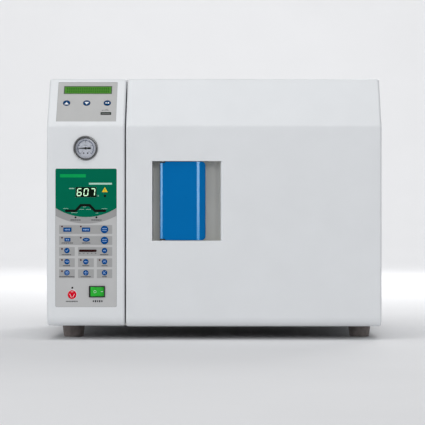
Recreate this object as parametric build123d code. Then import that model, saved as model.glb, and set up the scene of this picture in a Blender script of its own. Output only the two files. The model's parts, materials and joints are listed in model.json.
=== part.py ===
from build123d import *
from math import asin, atan2, cos, pi, radians, sin, tan
import os

# Benchtop steam autoclave: a control tower on the left, a side-hinged door on the right, and a
# horizontal pressure chamber behind the door. Millimetres. +X is right, +Z is up, the front faces -Y.
# The origin is the middle of the footprint, on the surface that the feet stand on.

# ---------------------------------------------------------------- overall size
WIDTH = 670.0
HEIGHT = 527.0
FRONT_Y = -320.0                # front face of the tower and the door
OVERALL_DEPTH = 647.0           # from the gauge bezel to the rear spigots
RIGHT_X = WIDTH / 2
LEFT_X = -RIGHT_X
REAR_Y = OVERALL_DEPTH / 2

# ---------------------------------------------------------------- front shells
KNEE_Z = 428.0                  # where the front face turns back into the slope
SLOPE_RUN = 80.0                # how far back the slope goes
TOWER_BOTTOM_Z = 28.0
DOOR_BOTTOM_Z = 26.5
SEAM_X = -178.0
SEAM_GAP = 2.4
WALL = 3.0
BOTTOM_ROUND = 18.0
KNEE_ROUND = 9.0
TOP_ROUND = 9.0
SIDE_ROUND = 5.0
TOWER_REAR_Y = -214.0
DOOR_REAR_Y = -226.0
TOWER_RIGHT_X = SEAM_X - SEAM_GAP / 2
DOOR_LEFT_X = SEAM_X + SEAM_GAP / 2
SLOPE_TURN = atan2(SLOPE_RUN, HEIGHT - KNEE_Z)
WALL_BACK_Y = FRONT_Y + WALL    # inner side of the front walls

# ---------------------------------------------------------------- cabinet
CABINET_FRONT_Y = TOWER_REAR_Y
PANEL_REAR_Y = 301.5
SHEET = 1.5
CABINET_X = 334.0
CABINET_TOP_Z = 526.0
CABINET_BOTTOM_Z = 27.0
BASE_SHEET = 2.0
BASE_TOP_Z = CABINET_BOTTOM_Z + BASE_SHEET
FRAME_SHEET = 3.0
FRAME_BACK_Y = CABINET_FRONT_Y + FRAME_SHEET

# ---------------------------------------------------------------- chamber
CHAMBER_X = 79.0
CHAMBER_Z = 277.0
BORE_R = 150.0
SHELL_R = 153.0
FLANGE_R = 185.0
FLANGE_THICK = 12.0
CHAMBER_BACK_Y = 225.0          # end of the straight wall
DISH_DEPTH = 30.0
HEATER_R = 156.0
JACKET_IN_R = 156.5
JACKET_R = 180.0
JACKET_BACK_Y = 282.0

# ---------------------------------------------------------------- door hinge
HINGE_X = RIGHT_X - 8.0
HINGE_Y = DOOR_REAR_Y
HINGE_PIN_R = 4.0
KNUCKLE_R = 7.0
KNUCKLE_HEIGHT = 18.0
KNUCKLE_GAP = 0.5
HINGE_STARTS = (97.0, 398.0)    # lowest point of each hinge
RUNNING = 0.05                  # radial clearance of a shaft that turns in a hole

# ---------------------------------------------------------------- handle and latch
POCKET_LEFT_X = -124.2
POCKET_RIGHT_X = 13.0
POCKET_BOTTOM_Z = 198.6
POCKET_TOP_Z = 358.0
POCKET_FLOOR_Y = -272.0
POCKET_WALL = 2.5
POCKET_CORNER = 14.0            # round between the floor and the right wall
LIP_WIDTH = 6.0                 # rounded edge of the cover at the right of the pocket
HANDLE_X = -102.6               # the lever's pivot
HANDLE_Y = -311.0
HANDLE_BARREL_R = 6.0
HANDLE_RIGHT_X = -17.2
HANDLE_BOTTOM_Z = 199.6
HANDLE_TOP_Z = 357.0
SHAFT_R = 4.0
CRANK_REACH = 13.0
CRANK_PIN_R = 2.5
HANDLE_SWING_DEG = 50.0
LATCH_Z = (179.0, 185.0)

# ---------------------------------------------------------------- control tower
PANEL_X = (-317.6, -195.0)      # main panel
PANEL_Z = (66.0, 342.8)
PANEL_SINK = 0.4                # the panel's face below the tower's face
PANEL_THICK = 1.4
PANEL_LIP = 6.0                 # ledge that the panel is stuck to
PANEL_CORNER = 3.0
PANEL_FACE_Y = FRONT_Y + PANEL_SINK
PANEL_BACK_Y = PANEL_FACE_Y + PANEL_THICK
HEAD_X = (-317.0, -197.0)       # panel on the slope, measured up the slope from the knee
HEAD_S = (12.2, 118.3)
LCD_X = (-305.3, -207.6)
LCD_S = (86.3, 108.2)
USB_X = (-228.7, -207.2)
USB_S = (29.9, 37.7)
READOUT_X = (-277.0, -235.8)
READOUT_Z = (286.0, 305.4)
GAUGE_X = -257.4
GAUGE_Z = 383.6
GAUGE_BEZEL_R = 24.7
GAUGE_CASE_R = 21.8
ROCKER_X = -234.5
ROCKER_Z = 96.7
ROCKER_WIDTH = 31.8
ROCKER_HEIGHT = 22.6
BOARD_Y = -310.0                # front of the main circuit board
BOARD_THICK = 1.6
KEY_PROUD = 0.6                 # how far a key stands out of its panel
KEY_GAP = 0.35
KEY_STEM_R = 2.2
KEY_STEM_LENGTH = 7.0

# Keys of the main panel: name, x, z, width, height, and "round", "square" or "oval".
PANEL_KEYS = [
    ("key_cycle_low", -293.7, 220.7, 16.2, 8.2, "square"),
    ("key_cycle_high", -256.4, 220.7, 16.2, 8.2, "square"),
    ("key_start", -219.4, 221.0, 14.8, 14.8, "round"),
    ("key_container", -293.6, 200.6, 11.8, 7.0, "square"),
    ("key_wrapped", -256.0, 200.6, 14.0, 7.4, "oval"),
    ("key_stop", -219.4, 199.0, 14.8, 14.8, "round"),
    ("key_liquid", -294.6, 178.9, 10.6, 10.6, "round"),
    ("key_dry_time", -219.4, 178.9, 10.6, 10.6, "round"),
    ("key_bottle", -294.6, 156.6, 10.6, 10.6, "round"),
    ("key_flash", -256.8, 156.6, 10.6, 10.6, "round"),
    ("key_preheat", -219.4, 156.6, 10.6, 10.6, "round"),
    ("key_fill", -294.6, 134.4, 10.6, 10.6, "round"),
    ("key_exhaust", -256.8, 134.4, 10.6, 10.6, "round"),
    ("key_drain", -219.4, 134.4, 10.6, 10.6, "round"),
    ("key_emergency", -284.2, 90.8, 17.6, 17.6, "round"),
]
# Keys of the sloped panel: name, x, distance up the slope.
HEAD_KEYS = [
    ("key_up", -298.2, 61.9),
    ("key_down", -257.6, 61.9),
    ("key_set", -216.1, 61.9),
]
HEAD_KEY_SIZE = 14.3


# ---------------------------------------------------------------- helpers
def block(low, high):
    """A box from its lowest corner to its highest corner."""
    size = [b - a for a, b in zip(low, high)]
    middle = [(a + b) / 2 for a, b in zip(low, high)]
    return Pos(*middle) * Box(*size)


def rod(start, direction, radius, length):
    """A cylinder that starts at a point and runs along a direction."""
    place = Plane(origin=start, z_dir=direction)
    return place * Cylinder(radius, length, align=(Align.CENTER, Align.CENTER, Align.MIN))


def ring(start, direction, outer, inner, length):
    """A tube that starts at a point and runs along a direction."""
    return rod(start, direction, outer, length) - rod(start, direction, inner, length)


def spin(profile, x, z):
    """A solid of revolution about the line along Y through (x, z); profile holds (y, radius)."""
    points = [(x + radius, y, z) for y, radius in profile]
    face = make_face(Polyline(*points, close=True))
    return revolve(face, axis=Axis((x, 0, z), (0, 1, 0)), revolution_arc=360)


def joined(pieces):
    """All the pieces fused into one shape."""
    return Part() + list(pieces)


def prism_z(points, radii, low, high):
    """An outline of (x, y) points with its corners rounded, raised from one height to another."""
    line = FilletPolyline(*[(x, y, low) for x, y in points], radius=radii, close=True)
    return extrude(make_face(line), amount=high - low, dir=(0, 0, 1))


def slab(x, z, y, corner):
    """An upright plate with rounded corners; x, z and y are its lowest and highest values."""
    points = [(x[0], y[0], z[0]), (x[1], y[0], z[0]), (x[1], y[0], z[1]), (x[0], y[0], z[1])]
    line = FilletPolyline(*points, radius=corner, close=True)
    return extrude(make_face(line), amount=y[1] - y[0], dir=(0, 1, 0))


# The slope's own frame: x to the right, y up the slope from the knee, z out of the surface.
SLOPE = Plane(
    origin=(0, FRONT_Y, KNEE_Z),
    x_dir=(1, 0, 0),
    z_dir=(0, -cos(SLOPE_TURN), sin(SLOPE_TURN)),
)
# The front face's frame: x to the right, y up from the ground, z out of the surface.
FRONT = Plane(origin=(0, FRONT_Y, 0), x_dir=(1, 0, 0), z_dir=(0, -1, 0))


def front_section(x, inset, rear_y, bottom_z):
    """Side outline of a front shell, moved inwards by inset, as a face at one x."""
    knee_drop = inset * tan(SLOPE_TURN / 2)
    top_shift = inset * tan((pi / 2 - SLOPE_TURN) / 2)
    points = [
        (x, FRONT_Y + inset, bottom_z + inset),
        (x, FRONT_Y + inset, KNEE_Z - knee_drop),
        (x, FRONT_Y + SLOPE_RUN + top_shift, HEIGHT - inset),
        (x, rear_y, HEIGHT - inset),
        (x, rear_y, bottom_z + inset),
    ]
    radii = [BOTTOM_ROUND - inset, KNEE_ROUND - inset, TOP_ROUND - inset, 0, 0]
    return make_face(FilletPolyline(*points, radius=radii, close=True))


def front_shell(left_x, right_x, rear_y, bottom_z):
    """A thin moulded shell with the knee and slope, open at the back."""
    width = right_x - left_x
    outer = extrude(front_section(left_x, 0, rear_y, bottom_z), amount=width, dir=(1, 0, 0))
    side_edges = [
        edge for edge in outer.edges()
        if min(abs(edge.center().X - left_x), abs(edge.center().X - right_x)) < 0.01
        and abs(edge.center().Y - rear_y) > 0.01
    ]
    outer = fillet(side_edges, SIDE_ROUND)
    inner_face = front_section(left_x + WALL, WALL, rear_y + WALL, bottom_z)
    return outer - extrude(inner_face, amount=width - 2 * WALL, dir=(1, 0, 0))


def key_outline(width, height, kind):
    """The flat shape of a key, centred on its own origin."""
    if kind == "round":
        return Circle(width / 2)
    if kind == "oval":
        return Ellipse(width / 2, height / 2)
    return RectangleRounded(width, height, 1.2)


def key_hole(plane, x, y, width, height, kind, depth):
    """The hole that a key passes through, cut from the surface down."""
    outline = key_outline(width + 2 * KEY_GAP, height + 2 * KEY_GAP, kind)
    return plane * extrude(Pos(x, y, 1) * outline, amount=-depth - 1)


def key_solid(plane, x, y, width, height, kind, face_height):
    """A key cap with the stem that reaches its switch. face_height is above the plane."""
    cap = extrude(Pos(x, y, face_height - 2.2) * key_outline(width, height, kind), amount=2.2)
    stem = Pos(x, y, face_height - KEY_STEM_LENGTH / 2) * Cylinder(KEY_STEM_R, KEY_STEM_LENGTH)
    return plane * (cap + stem)


# ---------------------------------------------------------------- control tower
def window_of(x, z, lip):
    """A panel's x and z ranges, less the ledge all round."""
    return (x[0] + lip, x[1] - lip), (z[0] + lip, z[1] - lip)


def make_control_fascia():
    shell = front_shell(LEFT_X, TOWER_RIGHT_X, TOWER_REAR_Y, TOWER_BOTTOM_Z)
    window_x, window_z = window_of(PANEL_X, PANEL_Z, PANEL_LIP)
    shell -= slab(PANEL_X, PANEL_Z, (FRONT_Y - 1, PANEL_BACK_Y), PANEL_CORNER)
    shell -= slab(window_x, window_z, (FRONT_Y - 1, WALL_BACK_Y + 1), PANEL_CORNER)
    shell -= rod((GAUGE_X, FRONT_Y - 1, GAUGE_Z), (0, 1, 0), GAUGE_CASE_R + 0.4, WALL + 2)
    head_x, head_s = window_of(HEAD_X, HEAD_S, PANEL_LIP)
    sink = PANEL_SINK + PANEL_THICK
    shell -= SLOPE * block((HEAD_X[0], HEAD_S[0], -sink), (HEAD_X[1], HEAD_S[1], 2))
    shell -= SLOPE * block((head_x[0], head_s[0], -WALL - 1), (head_x[1], head_s[1], 2))
    # Holes in the seam wall for the lock bolt and for the latch tongue.
    shell -= rod((TOWER_RIGHT_X - WALL - 1, LOCK_Y, LOCK_Z), (1, 0, 0), LOCK_BOLT_R + 0.4, WALL + 2)
    shell -= block(
        (TOWER_RIGHT_X - WALL - 1, LATCH_Y[0] - 1, LATCH_Z[0] - 1),
        (TOWER_RIGHT_X + 1, LATCH_Y[1] + 1, LATCH_Z[1] + 1),
    )
    return shell


def make_main_overlay():
    panel = slab(PANEL_X, PANEL_Z, (PANEL_FACE_Y, PANEL_BACK_Y), PANEL_CORNER)
    for _, x, z, width, height, kind in PANEL_KEYS:
        panel -= key_hole(FRONT, x, z, width, height, kind, WALL)
    readout_x = (READOUT_X[0] - KEY_GAP, READOUT_X[1] + KEY_GAP)
    readout_z = (READOUT_Z[0] - KEY_GAP, READOUT_Z[1] + KEY_GAP)
    panel -= slab(readout_x, readout_z, (FRONT_Y - 1, FRONT_Y + WALL), 0.6)
    panel -= rocker_block(ROCKER_WIDTH - 1, ROCKER_HEIGHT - 1, (FRONT_Y - 1, FRONT_Y + WALL))
    return panel


def make_lcd_overlay():
    panel = SLOPE * block(
        (HEAD_X[0], HEAD_S[0], -PANEL_SINK - PANEL_THICK), (HEAD_X[1], HEAD_S[1], -PANEL_SINK)
    )
    for x, s in [key[1:] for key in HEAD_KEYS]:
        panel -= key_hole(SLOPE, x, s, HEAD_KEY_SIZE, HEAD_KEY_SIZE, "round", WALL)
    for x, s in ((LCD_X, LCD_S), (USB_X, USB_S)):
        panel -= SLOPE * block((x[0], s[0], -WALL), (x[1], s[1], 1))
    return panel


def make_control_board():
    """The main circuit board with its readout block, switches and mounting pillars."""
    low_x = PANEL_X[0] + 1
    high_x = PANEL_X[1] - 1
    low_z = PANEL_Z[0] + 4
    high_z = PANEL_Z[1] - 2
    board = block((low_x, BOARD_Y, low_z), (high_x, BOARD_Y + BOARD_THICK, high_z))
    board -= rocker_block(ROCKER_WIDTH + 4, ROCKER_HEIGHT + 4, (BOARD_Y - 1, BOARD_Y + BOARD_THICK + 1))
    board += block(
        (READOUT_X[0], FRONT_Y + 1.0, READOUT_Z[0]), (READOUT_X[1], BOARD_Y, READOUT_Z[1])
    )
    for x in (low_x + 2, high_x - 2):
        for z in (low_z + 2, (low_z + high_z) / 2, high_z - 2):
            board += rod((x, WALL_BACK_Y, z), (0, 1, 0), 2.0, BOARD_Y - WALL_BACK_Y)
    for _, x, z, *_ in PANEL_KEYS:
        board += block((x - 3, BOARD_Y - 1.8, z - 3), (x + 3, BOARD_Y, z + 3))
    # Connectors and the transformer block on the back.
    back_y = BOARD_Y + BOARD_THICK
    for z in (150.0, 200.0, 250.0):
        board += block((-300, back_y, z), (-292, back_y + 9, z + 34))
    board += block((-262, back_y, 262), (-222, back_y + 24, 300))
    return board


def make_lcd_module():
    """The display on the slope, with its own board, switches, pillars and memory socket."""
    board_h = -8.0
    module = SLOPE * block(
        (HEAD_X[0] + 1, HEAD_S[0] + 1, board_h - BOARD_THICK), (HEAD_X[1] - 1, HEAD_S[1] - 1, board_h)
    )
    module += SLOPE * block(
        (LCD_X[0] + KEY_GAP, LCD_S[0] + KEY_GAP, board_h), (LCD_X[1] - KEY_GAP, LCD_S[1] - KEY_GAP, -1.0)
    )
    for x in (HEAD_X[0] + 3, HEAD_X[1] - 3):
        for s in (HEAD_S[0] + 3, HEAD_S[1] - 3):
            module += SLOPE * (Pos(x, s, (board_h - WALL) / 2) * Cylinder(2.0, -board_h - WALL))
    for _, x, s in HEAD_KEYS:
        module += SLOPE * block((x - 3, s - 3, board_h), (x + 3, s + 3, board_h + 0.6))
    socket_low = (USB_X[0] + KEY_GAP, USB_S[0] + KEY_GAP, board_h)
    socket_high = (USB_X[1] - KEY_GAP, USB_S[1] - KEY_GAP, -1.0)
    module += SLOPE * block(socket_low, socket_high)
    module -= SLOPE * block(
        (socket_low[0] + 0.8, socket_low[1] + 0.8, board_h + 1),
        (socket_high[0] - 0.8, socket_high[1] - 0.8, 1),
    )
    return module


def make_keys():
    """Every key as its own solid, by name."""
    keys = {}
    for name, x, z, width, height, kind in PANEL_KEYS:
        keys[name] = key_solid(FRONT, x, z, width, height, kind, KEY_PROUD - PANEL_SINK)
    for name, x, s in HEAD_KEYS:
        keys[name] = key_solid(SLOPE, x, s, HEAD_KEY_SIZE, HEAD_KEY_SIZE, "round", KEY_PROUD - PANEL_SINK)
    return keys


# ---------------------------------------------------------------- pressure gauge
GAUGE_PROUD = OVERALL_DEPTH / 2 + FRONT_Y       # bezel in front of the tower's face
GAUGE_FRONT_Y = FRONT_Y - GAUGE_PROUD
DIAL_Y = FRONT_Y + 4.0
NEEDLE_LENGTH = 16.5
NEEDLE_TAIL = 8.0


def make_gauge_case():
    bezel = ring((GAUGE_X, GAUGE_FRONT_Y, GAUGE_Z), (0, 1, 0), GAUGE_BEZEL_R, GAUGE_CASE_R - 1, GAUGE_PROUD)
    front_edge = [
        edge for edge in bezel.edges().filter_by(GeomType.CIRCLE)
        if abs(edge.center().Y - GAUGE_FRONT_Y) < 0.01 and edge.radius > GAUGE_CASE_R
    ]
    bezel = fillet(front_edge, 1.8)
    cup = ring((GAUGE_X, FRONT_Y, GAUGE_Z), (0, 1, 0), GAUGE_CASE_R, GAUGE_CASE_R - 1, 26)
    dial = rod((GAUGE_X, DIAL_Y, GAUGE_Z), (0, 1, 0), GAUGE_CASE_R - 1, 1.2)
    back = rod((GAUGE_X, FRONT_Y + 25, GAUGE_Z), (0, 1, 0), GAUGE_CASE_R, 1)
    spindle = rod((GAUGE_X, DIAL_Y - 2.6, GAUGE_Z), (0, 1, 0), 0.8, 2.6)
    stem = rod((GAUGE_X, FRONT_Y + 26, GAUGE_Z), (0, 1, 0), 6.0, 22)
    nut_place = Plane(origin=(GAUGE_X, FRONT_Y + 30, GAUGE_Z), z_dir=(0, 1, 0))
    nut = nut_place * extrude(RegularPolygon(9, 6), amount=8)
    clamp = ring((GAUGE_X, WALL_BACK_Y, GAUGE_Z), (0, 1, 0), GAUGE_CASE_R + 5, GAUGE_CASE_R, 2)
    return joined([bezel, cup, dial, back, spindle, stem, nut, clamp])


def make_gauge_needle():
    """The needle points left at rest, with a wide counterweight to the right."""
    low_y = DIAL_Y - 1.8
    high_y = DIAL_Y - 1.0
    blade = extrude(
        make_face(Polyline(
            (GAUGE_X - NEEDLE_LENGTH, low_y, GAUGE_Z - 0.25),
            (GAUGE_X - NEEDLE_LENGTH, low_y, GAUGE_Z + 0.25),
            (GAUGE_X + NEEDLE_TAIL, low_y, GAUGE_Z + 1.3),
            (GAUGE_X + NEEDLE_TAIL, low_y, GAUGE_Z - 1.3),
            close=True,
        )),
        amount=high_y - low_y,
        dir=(0, 1, 0),
    )
    hub = rod((GAUGE_X, low_y - 0.4, GAUGE_Z), (0, 1, 0), 2.4, high_y - low_y + 0.6)
    hole = rod((GAUGE_X, DIAL_Y - 2.6, GAUGE_Z), (0, 1, 0), 0.8 + RUNNING, 3)
    return blade + hub - hole


def make_gauge_glass():
    return rod((GAUGE_X, GAUGE_FRONT_Y + 1.0, GAUGE_Z), (0, 1, 0), GAUGE_CASE_R - 1, 1.6)


# ---------------------------------------------------------------- power switch
ROCKER_PROUD = 2.0
ROCKER_PIVOT_Y = FRONT_Y + 3.0
ROCKER_HALF = 13.6
ROCKER_BUTTON_HEIGHT = 18.8
ROCKER_WELL_GAP = 0.8           # between the button and the well's walls at rest
ROCKER_REST_DEG = 10.0          # the side marked with a dash is pressed in
ROCKER_BODY_Y = FRONT_Y + 22.0


def rocker_block(width, height, y):
    """A block centred on the power switch."""
    return block(
        (ROCKER_X - width / 2, y[0], ROCKER_Z - height / 2),
        (ROCKER_X + width / 2, y[1], ROCKER_Z + height / 2),
    )


def make_rocker_bezel():
    well_width = 2 * (ROCKER_HALF + ROCKER_WELL_GAP)
    well_height = ROCKER_BUTTON_HEIGHT + ROCKER_WELL_GAP
    flange = rocker_block(ROCKER_WIDTH, ROCKER_HEIGHT, (FRONT_Y - ROCKER_PROUD, PANEL_FACE_Y))
    body = rocker_block(ROCKER_WIDTH - 1.6, ROCKER_HEIGHT - 1.6, (PANEL_FACE_Y, ROCKER_BODY_Y))
    well = rocker_block(well_width, well_height, (FRONT_Y - 3, FRONT_Y + 11))
    pin_length = well_height + 1.0
    pin = rod((ROCKER_X, ROCKER_PIVOT_Y, ROCKER_Z - pin_length / 2), (0, 0, 1), 1.5, pin_length)
    bezel = flange + body - well + pin
    for x in (ROCKER_X - 8, ROCKER_X + 8):
        bezel += block((x - 0.4, ROCKER_BODY_Y, ROCKER_Z - 3), (x + 0.4, ROCKER_BODY_Y + 9, ROCKER_Z + 3))
    return bezel


def make_rocker_button():
    half_height = ROCKER_BUTTON_HEIGHT / 2
    outline = [
        (-ROCKER_HALF, -4.2),
        (0, -2.8),
        (ROCKER_HALF, -4.2),
        (ROCKER_HALF * 0.8, 4.0),
        (-ROCKER_HALF * 0.8, 4.0),
    ]
    button = prism_z(outline, [1.0, 0, 1.0, 1.0, 1.0], -half_height, half_height)
    button -= Cylinder(1.5 + RUNNING, 2 * half_height + 1)
    return Pos(ROCKER_X, ROCKER_PIVOT_Y, ROCKER_Z) * Rot(0, 0, ROCKER_REST_DEG) * button


# ---------------------------------------------------------------- door lock
LOCK_Y = -280.0
LOCK_Z = 332.0
LOCK_BOLT_R = 4.0
LOCK_BOLT_X = (-226.0, -181.0)
LATCH_Y = (-309.0, -290.0)


def make_lock_actuator():
    wall_x = TOWER_RIGHT_X - WALL
    body = block((-238, LOCK_Y - 16, LOCK_Z - 16), (wall_x, LOCK_Y + 16, LOCK_Z + 16))
    bore = rod((LOCK_BOLT_X[0] - 4, LOCK_Y, LOCK_Z), (1, 0, 0), LOCK_BOLT_R + RUNNING, 80)
    motor = rod((-262, LOCK_Y, LOCK_Z), (1, 0, 0), 11, 24)
    ears = block((wall_x - 3, LOCK_Y - 16, LOCK_Z - 28), (wall_x, LOCK_Y + 16, LOCK_Z + 28))
    return body + motor + ears - bore


def make_lock_bolt():
    length = LOCK_BOLT_X[1] - LOCK_BOLT_X[0]
    bolt = rod((LOCK_BOLT_X[0], LOCK_Y, LOCK_Z), (1, 0, 0), LOCK_BOLT_R, length)
    return chamfer(bolt.edges().filter_by(GeomType.CIRCLE).sort_by(Axis.X)[-1], 1.0)


# ---------------------------------------------------------------- door
LINER_Y = (-229.0, DOOR_REAR_Y)
LINER_HOLE_R = 176.0
DISC_R = 170.0
DISC_Y = (-227.0, -215.0)
GASKET_R = (154.0, 162.0)
GASKET_FRONT_Y = -219.5
GASKET_BACK_Y = -211.5          # a hair short of the flange, which it meets when the door is locked
BRIDGE_Y = -262.0
NOTCH_DEPTH = 17.0
HINGE_HEIGHT = 3 * KNUCKLE_HEIGHT + 2 * KNUCKLE_GAP


def pocket_section(grow, front_y, low, high):
    """The pocket's plan shape raised in Z: square at the left, rounded into the floor at the right."""
    floor_y = POCKET_FLOOR_Y + grow
    left_x = POCKET_LEFT_X - grow
    right_x = POCKET_RIGHT_X + grow
    points = [(right_x, front_y), (left_x, front_y), (left_x, floor_y), (right_x, floor_y)]
    return prism_z(points, [0, 0, 0, POCKET_CORNER + grow], low, high)


def pocket_lip():
    """What is cut from the cover to leave a rounded edge at the right of the pocket."""
    radius = (LIP_WIDTH ** 2 + WALL ** 2) / (2 * WALL)
    tangent_x = POCKET_RIGHT_X + LIP_WIDTH
    turn = asin(LIP_WIDTH / radius) / 2
    top = (tangent_x, FRONT_Y, POCKET_BOTTOM_Z)
    bottom = (POCKET_RIGHT_X, WALL_BACK_Y, POCKET_BOTTOM_Z)
    halfway = (tangent_x - radius * sin(turn), FRONT_Y + radius * (1 - cos(turn)), POCKET_BOTTOM_Z)
    edges = [ThreePointArc(top, halfway, bottom)] + list(Polyline(
        bottom,
        (POCKET_RIGHT_X - 1, WALL_BACK_Y, POCKET_BOTTOM_Z),
        (POCKET_RIGHT_X - 1, FRONT_Y - 1, POCKET_BOTTOM_Z),
        (tangent_x, FRONT_Y - 1, POCKET_BOTTOM_Z),
        top,
    ).edges())
    return extrude(make_face(edges), amount=POCKET_TOP_Z - POCKET_BOTTOM_Z, dir=(0, 0, 1))


def make_door_cover():
    shell = front_shell(DOOR_LEFT_X, RIGHT_X, DOOR_REAR_Y, DOOR_BOTTOM_Z)
    shell -= block(
        (POCKET_LEFT_X, FRONT_Y - 1, POCKET_BOTTOM_Z), (POCKET_RIGHT_X, WALL_BACK_Y + 1, POCKET_TOP_Z)
    )
    shell -= pocket_lip()
    # Room for the hinge knuckles.
    for start in HINGE_STARTS:
        shell -= block(
            (RIGHT_X - 2 * KNUCKLE_R, DOOR_REAR_Y - NOTCH_DEPTH, start - 5),
            (RIGHT_X + 1, DOOR_REAR_Y + 1, start + HINGE_HEIGHT + 5),
        )
    # Guide for the latch tongue, and the holes in the seam wall.
    guide = block((-152, WALL_BACK_Y, LATCH_Z[0] - 6), (-140, LATCH_Y[1] + 5, LATCH_Z[1] + 6))
    shell += guide
    shell -= block(
        (DOOR_LEFT_X - 1, LATCH_Y[0] - 0.4, LATCH_Z[0] - 0.4), (-139, LATCH_Y[1] + 0.4, LATCH_Z[1] + 0.4)
    )
    shell -= rod((DOOR_LEFT_X - 1, LOCK_Y, LOCK_Z), (1, 0, 0), LOCK_BOLT_R + 1, WALL + 2)
    return shell


def make_handle_pocket():
    outer = pocket_section(
        POCKET_WALL, WALL_BACK_Y, POCKET_BOTTOM_Z - POCKET_WALL, POCKET_TOP_Z + POCKET_WALL
    )
    hollow = pocket_section(0, WALL_BACK_Y - 1, POCKET_BOTTOM_Z, POCKET_TOP_Z)
    bore = rod((HANDLE_X, HANDLE_Y, POCKET_BOTTOM_Z - 20), (0, 0, 1), SHAFT_R + RUNNING, 200)
    bosses = [
        rod((HANDLE_X, HANDLE_Y, POCKET_BOTTOM_Z - POCKET_WALL - 3), (0, 0, 1), SHAFT_R + 1.5, 3),
        rod((HANDLE_X, HANDLE_Y, POCKET_TOP_Z + POCKET_WALL), (0, 0, 1), SHAFT_R + 1.5, 3),
    ]
    return joined([outer, *bosses]) - hollow - bore


def make_handle_lever():
    """A flat lever with a barrel at its left edge and a swept-back grip along its right edge."""
    front_y = HANDLE_Y - HANDLE_BARREL_R
    back_y = front_y + 8
    fold_x = HANDLE_RIGHT_X - 14.8
    plan = [
        (HANDLE_X, front_y),
        (fold_x, front_y),
        (HANDLE_RIGHT_X, front_y + 6.5),
        (HANDLE_RIGHT_X - 1, front_y + 11),
        (fold_x - 3, back_y),
        (HANDLE_X, back_y),
    ]
    lever = prism_z(plan, [0, 2, 2, 2, 4, 0], HANDLE_BOTTOM_Z, HANDLE_TOP_Z)
    lever_height = HANDLE_TOP_Z - HANDLE_BOTTOM_Z
    lever += rod((HANDLE_X, HANDLE_Y, HANDLE_BOTTOM_Z), (0, 0, 1), HANDLE_BARREL_R, lever_height)
    front_view = [
        (HANDLE_X - 20, HANDLE_BOTTOM_Z),
        (HANDLE_RIGHT_X, HANDLE_BOTTOM_Z),
        (HANDLE_RIGHT_X, HANDLE_TOP_Z),
        (HANDLE_X - 20, HANDLE_TOP_Z),
    ]
    line = FilletPolyline(*[(x, front_y - 5, z) for x, z in front_view], radius=[0, 8, 8, 0], close=True)
    lever &= extrude(make_face(line), amount=40, dir=(0, 1, 0))
    for z in (HANDLE_BOTTOM_Z, HANDLE_TOP_Z):
        lever -= block((HANDLE_X - 8, front_y - 1, z - 3), (HANDLE_X + 6, HANDLE_Y + 8, z + 3))
    return lever - rod((HANDLE_X, HANDLE_Y, 0), (0, 0, 1), SHAFT_R, HEIGHT)


def make_handle_shaft():
    """The lever's shaft, with a collar above the pocket and the crank that draws the latch below it."""
    crank_z = LATCH_Z[1] + 1.5
    shaft = rod((HANDLE_X, HANDLE_Y, crank_z), (0, 0, 1), SHAFT_R, POCKET_TOP_Z + 10 - crank_z)
    collar = rod((HANDLE_X, HANDLE_Y, POCKET_TOP_Z + POCKET_WALL + 3.6), (0, 0, 1), SHAFT_R + 1.6, 3)
    arm = rod((HANDLE_X, HANDLE_Y, crank_z), (0, 0, 1), SHAFT_R + 1.6, 4)
    arm += block((HANDLE_X - 3.5, HANDLE_Y, crank_z), (HANDLE_X + 3.5, HANDLE_Y + CRANK_REACH, crank_z + 4))
    arm += rod((HANDLE_X, HANDLE_Y + CRANK_REACH, crank_z), (0, 0, 1), 3.5, 4)
    pin_length = crank_z + 2 - LATCH_Z[0]
    pin = rod((HANDLE_X, HANDLE_Y + CRANK_REACH, LATCH_Z[0] - 1), (0, 0, 1), CRANK_PIN_R, pin_length)
    return joined([shaft, collar, arm, pin])


def make_latch_slider():
    """A flat bar with its tongue at the seam and a slot across it for the crank's pin."""
    bar = block((DOOR_LEFT_X + 1, LATCH_Y[0], LATCH_Z[0]), (HANDLE_X + 16, LATCH_Y[1], LATCH_Z[1]))
    slot_half = CRANK_PIN_R + 1.0
    near_y = HANDLE_Y + CRANK_REACH * cos(radians(HANDLE_SWING_DEG)) - CRANK_PIN_R - 0.6
    far_y = HANDLE_Y + CRANK_REACH + CRANK_PIN_R + 0.6
    bar -= block(
        (HANDLE_X - slot_half, near_y, LATCH_Z[0] - 1),
        (HANDLE_X + slot_half, far_y, LATCH_Z[1] + 1),
    )
    return bar


def hinge_knuckles(order):
    """The knuckles at the given places, 0 to 2 from the bottom, of both hinges."""
    knuckles = []
    for start in HINGE_STARTS:
        for place in order:
            z = start + place * (KNUCKLE_HEIGHT + KNUCKLE_GAP)
            knuckles.append((z, z + KNUCKLE_HEIGHT))
    return knuckles


def make_door_liner():
    """The sheet that closes the back of the door, open around the pressure door and the hinges."""
    liner = block(
        (DOOR_LEFT_X + WALL, LINER_Y[0], DOOR_BOTTOM_Z + WALL), (RIGHT_X - WALL, LINER_Y[1], HEIGHT - WALL)
    )
    liner -= rod((CHAMBER_X, LINER_Y[0] - 1, CHAMBER_Z), (0, 1, 0), LINER_HOLE_R, 5)
    for start in HINGE_STARTS:
        liner -= block(
            (RIGHT_X - 48, LINER_Y[0] - 1, start - 5), (RIGHT_X, LINER_Y[1] + 1, start + HINGE_HEIGHT + 5)
        )
    return liner


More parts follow.
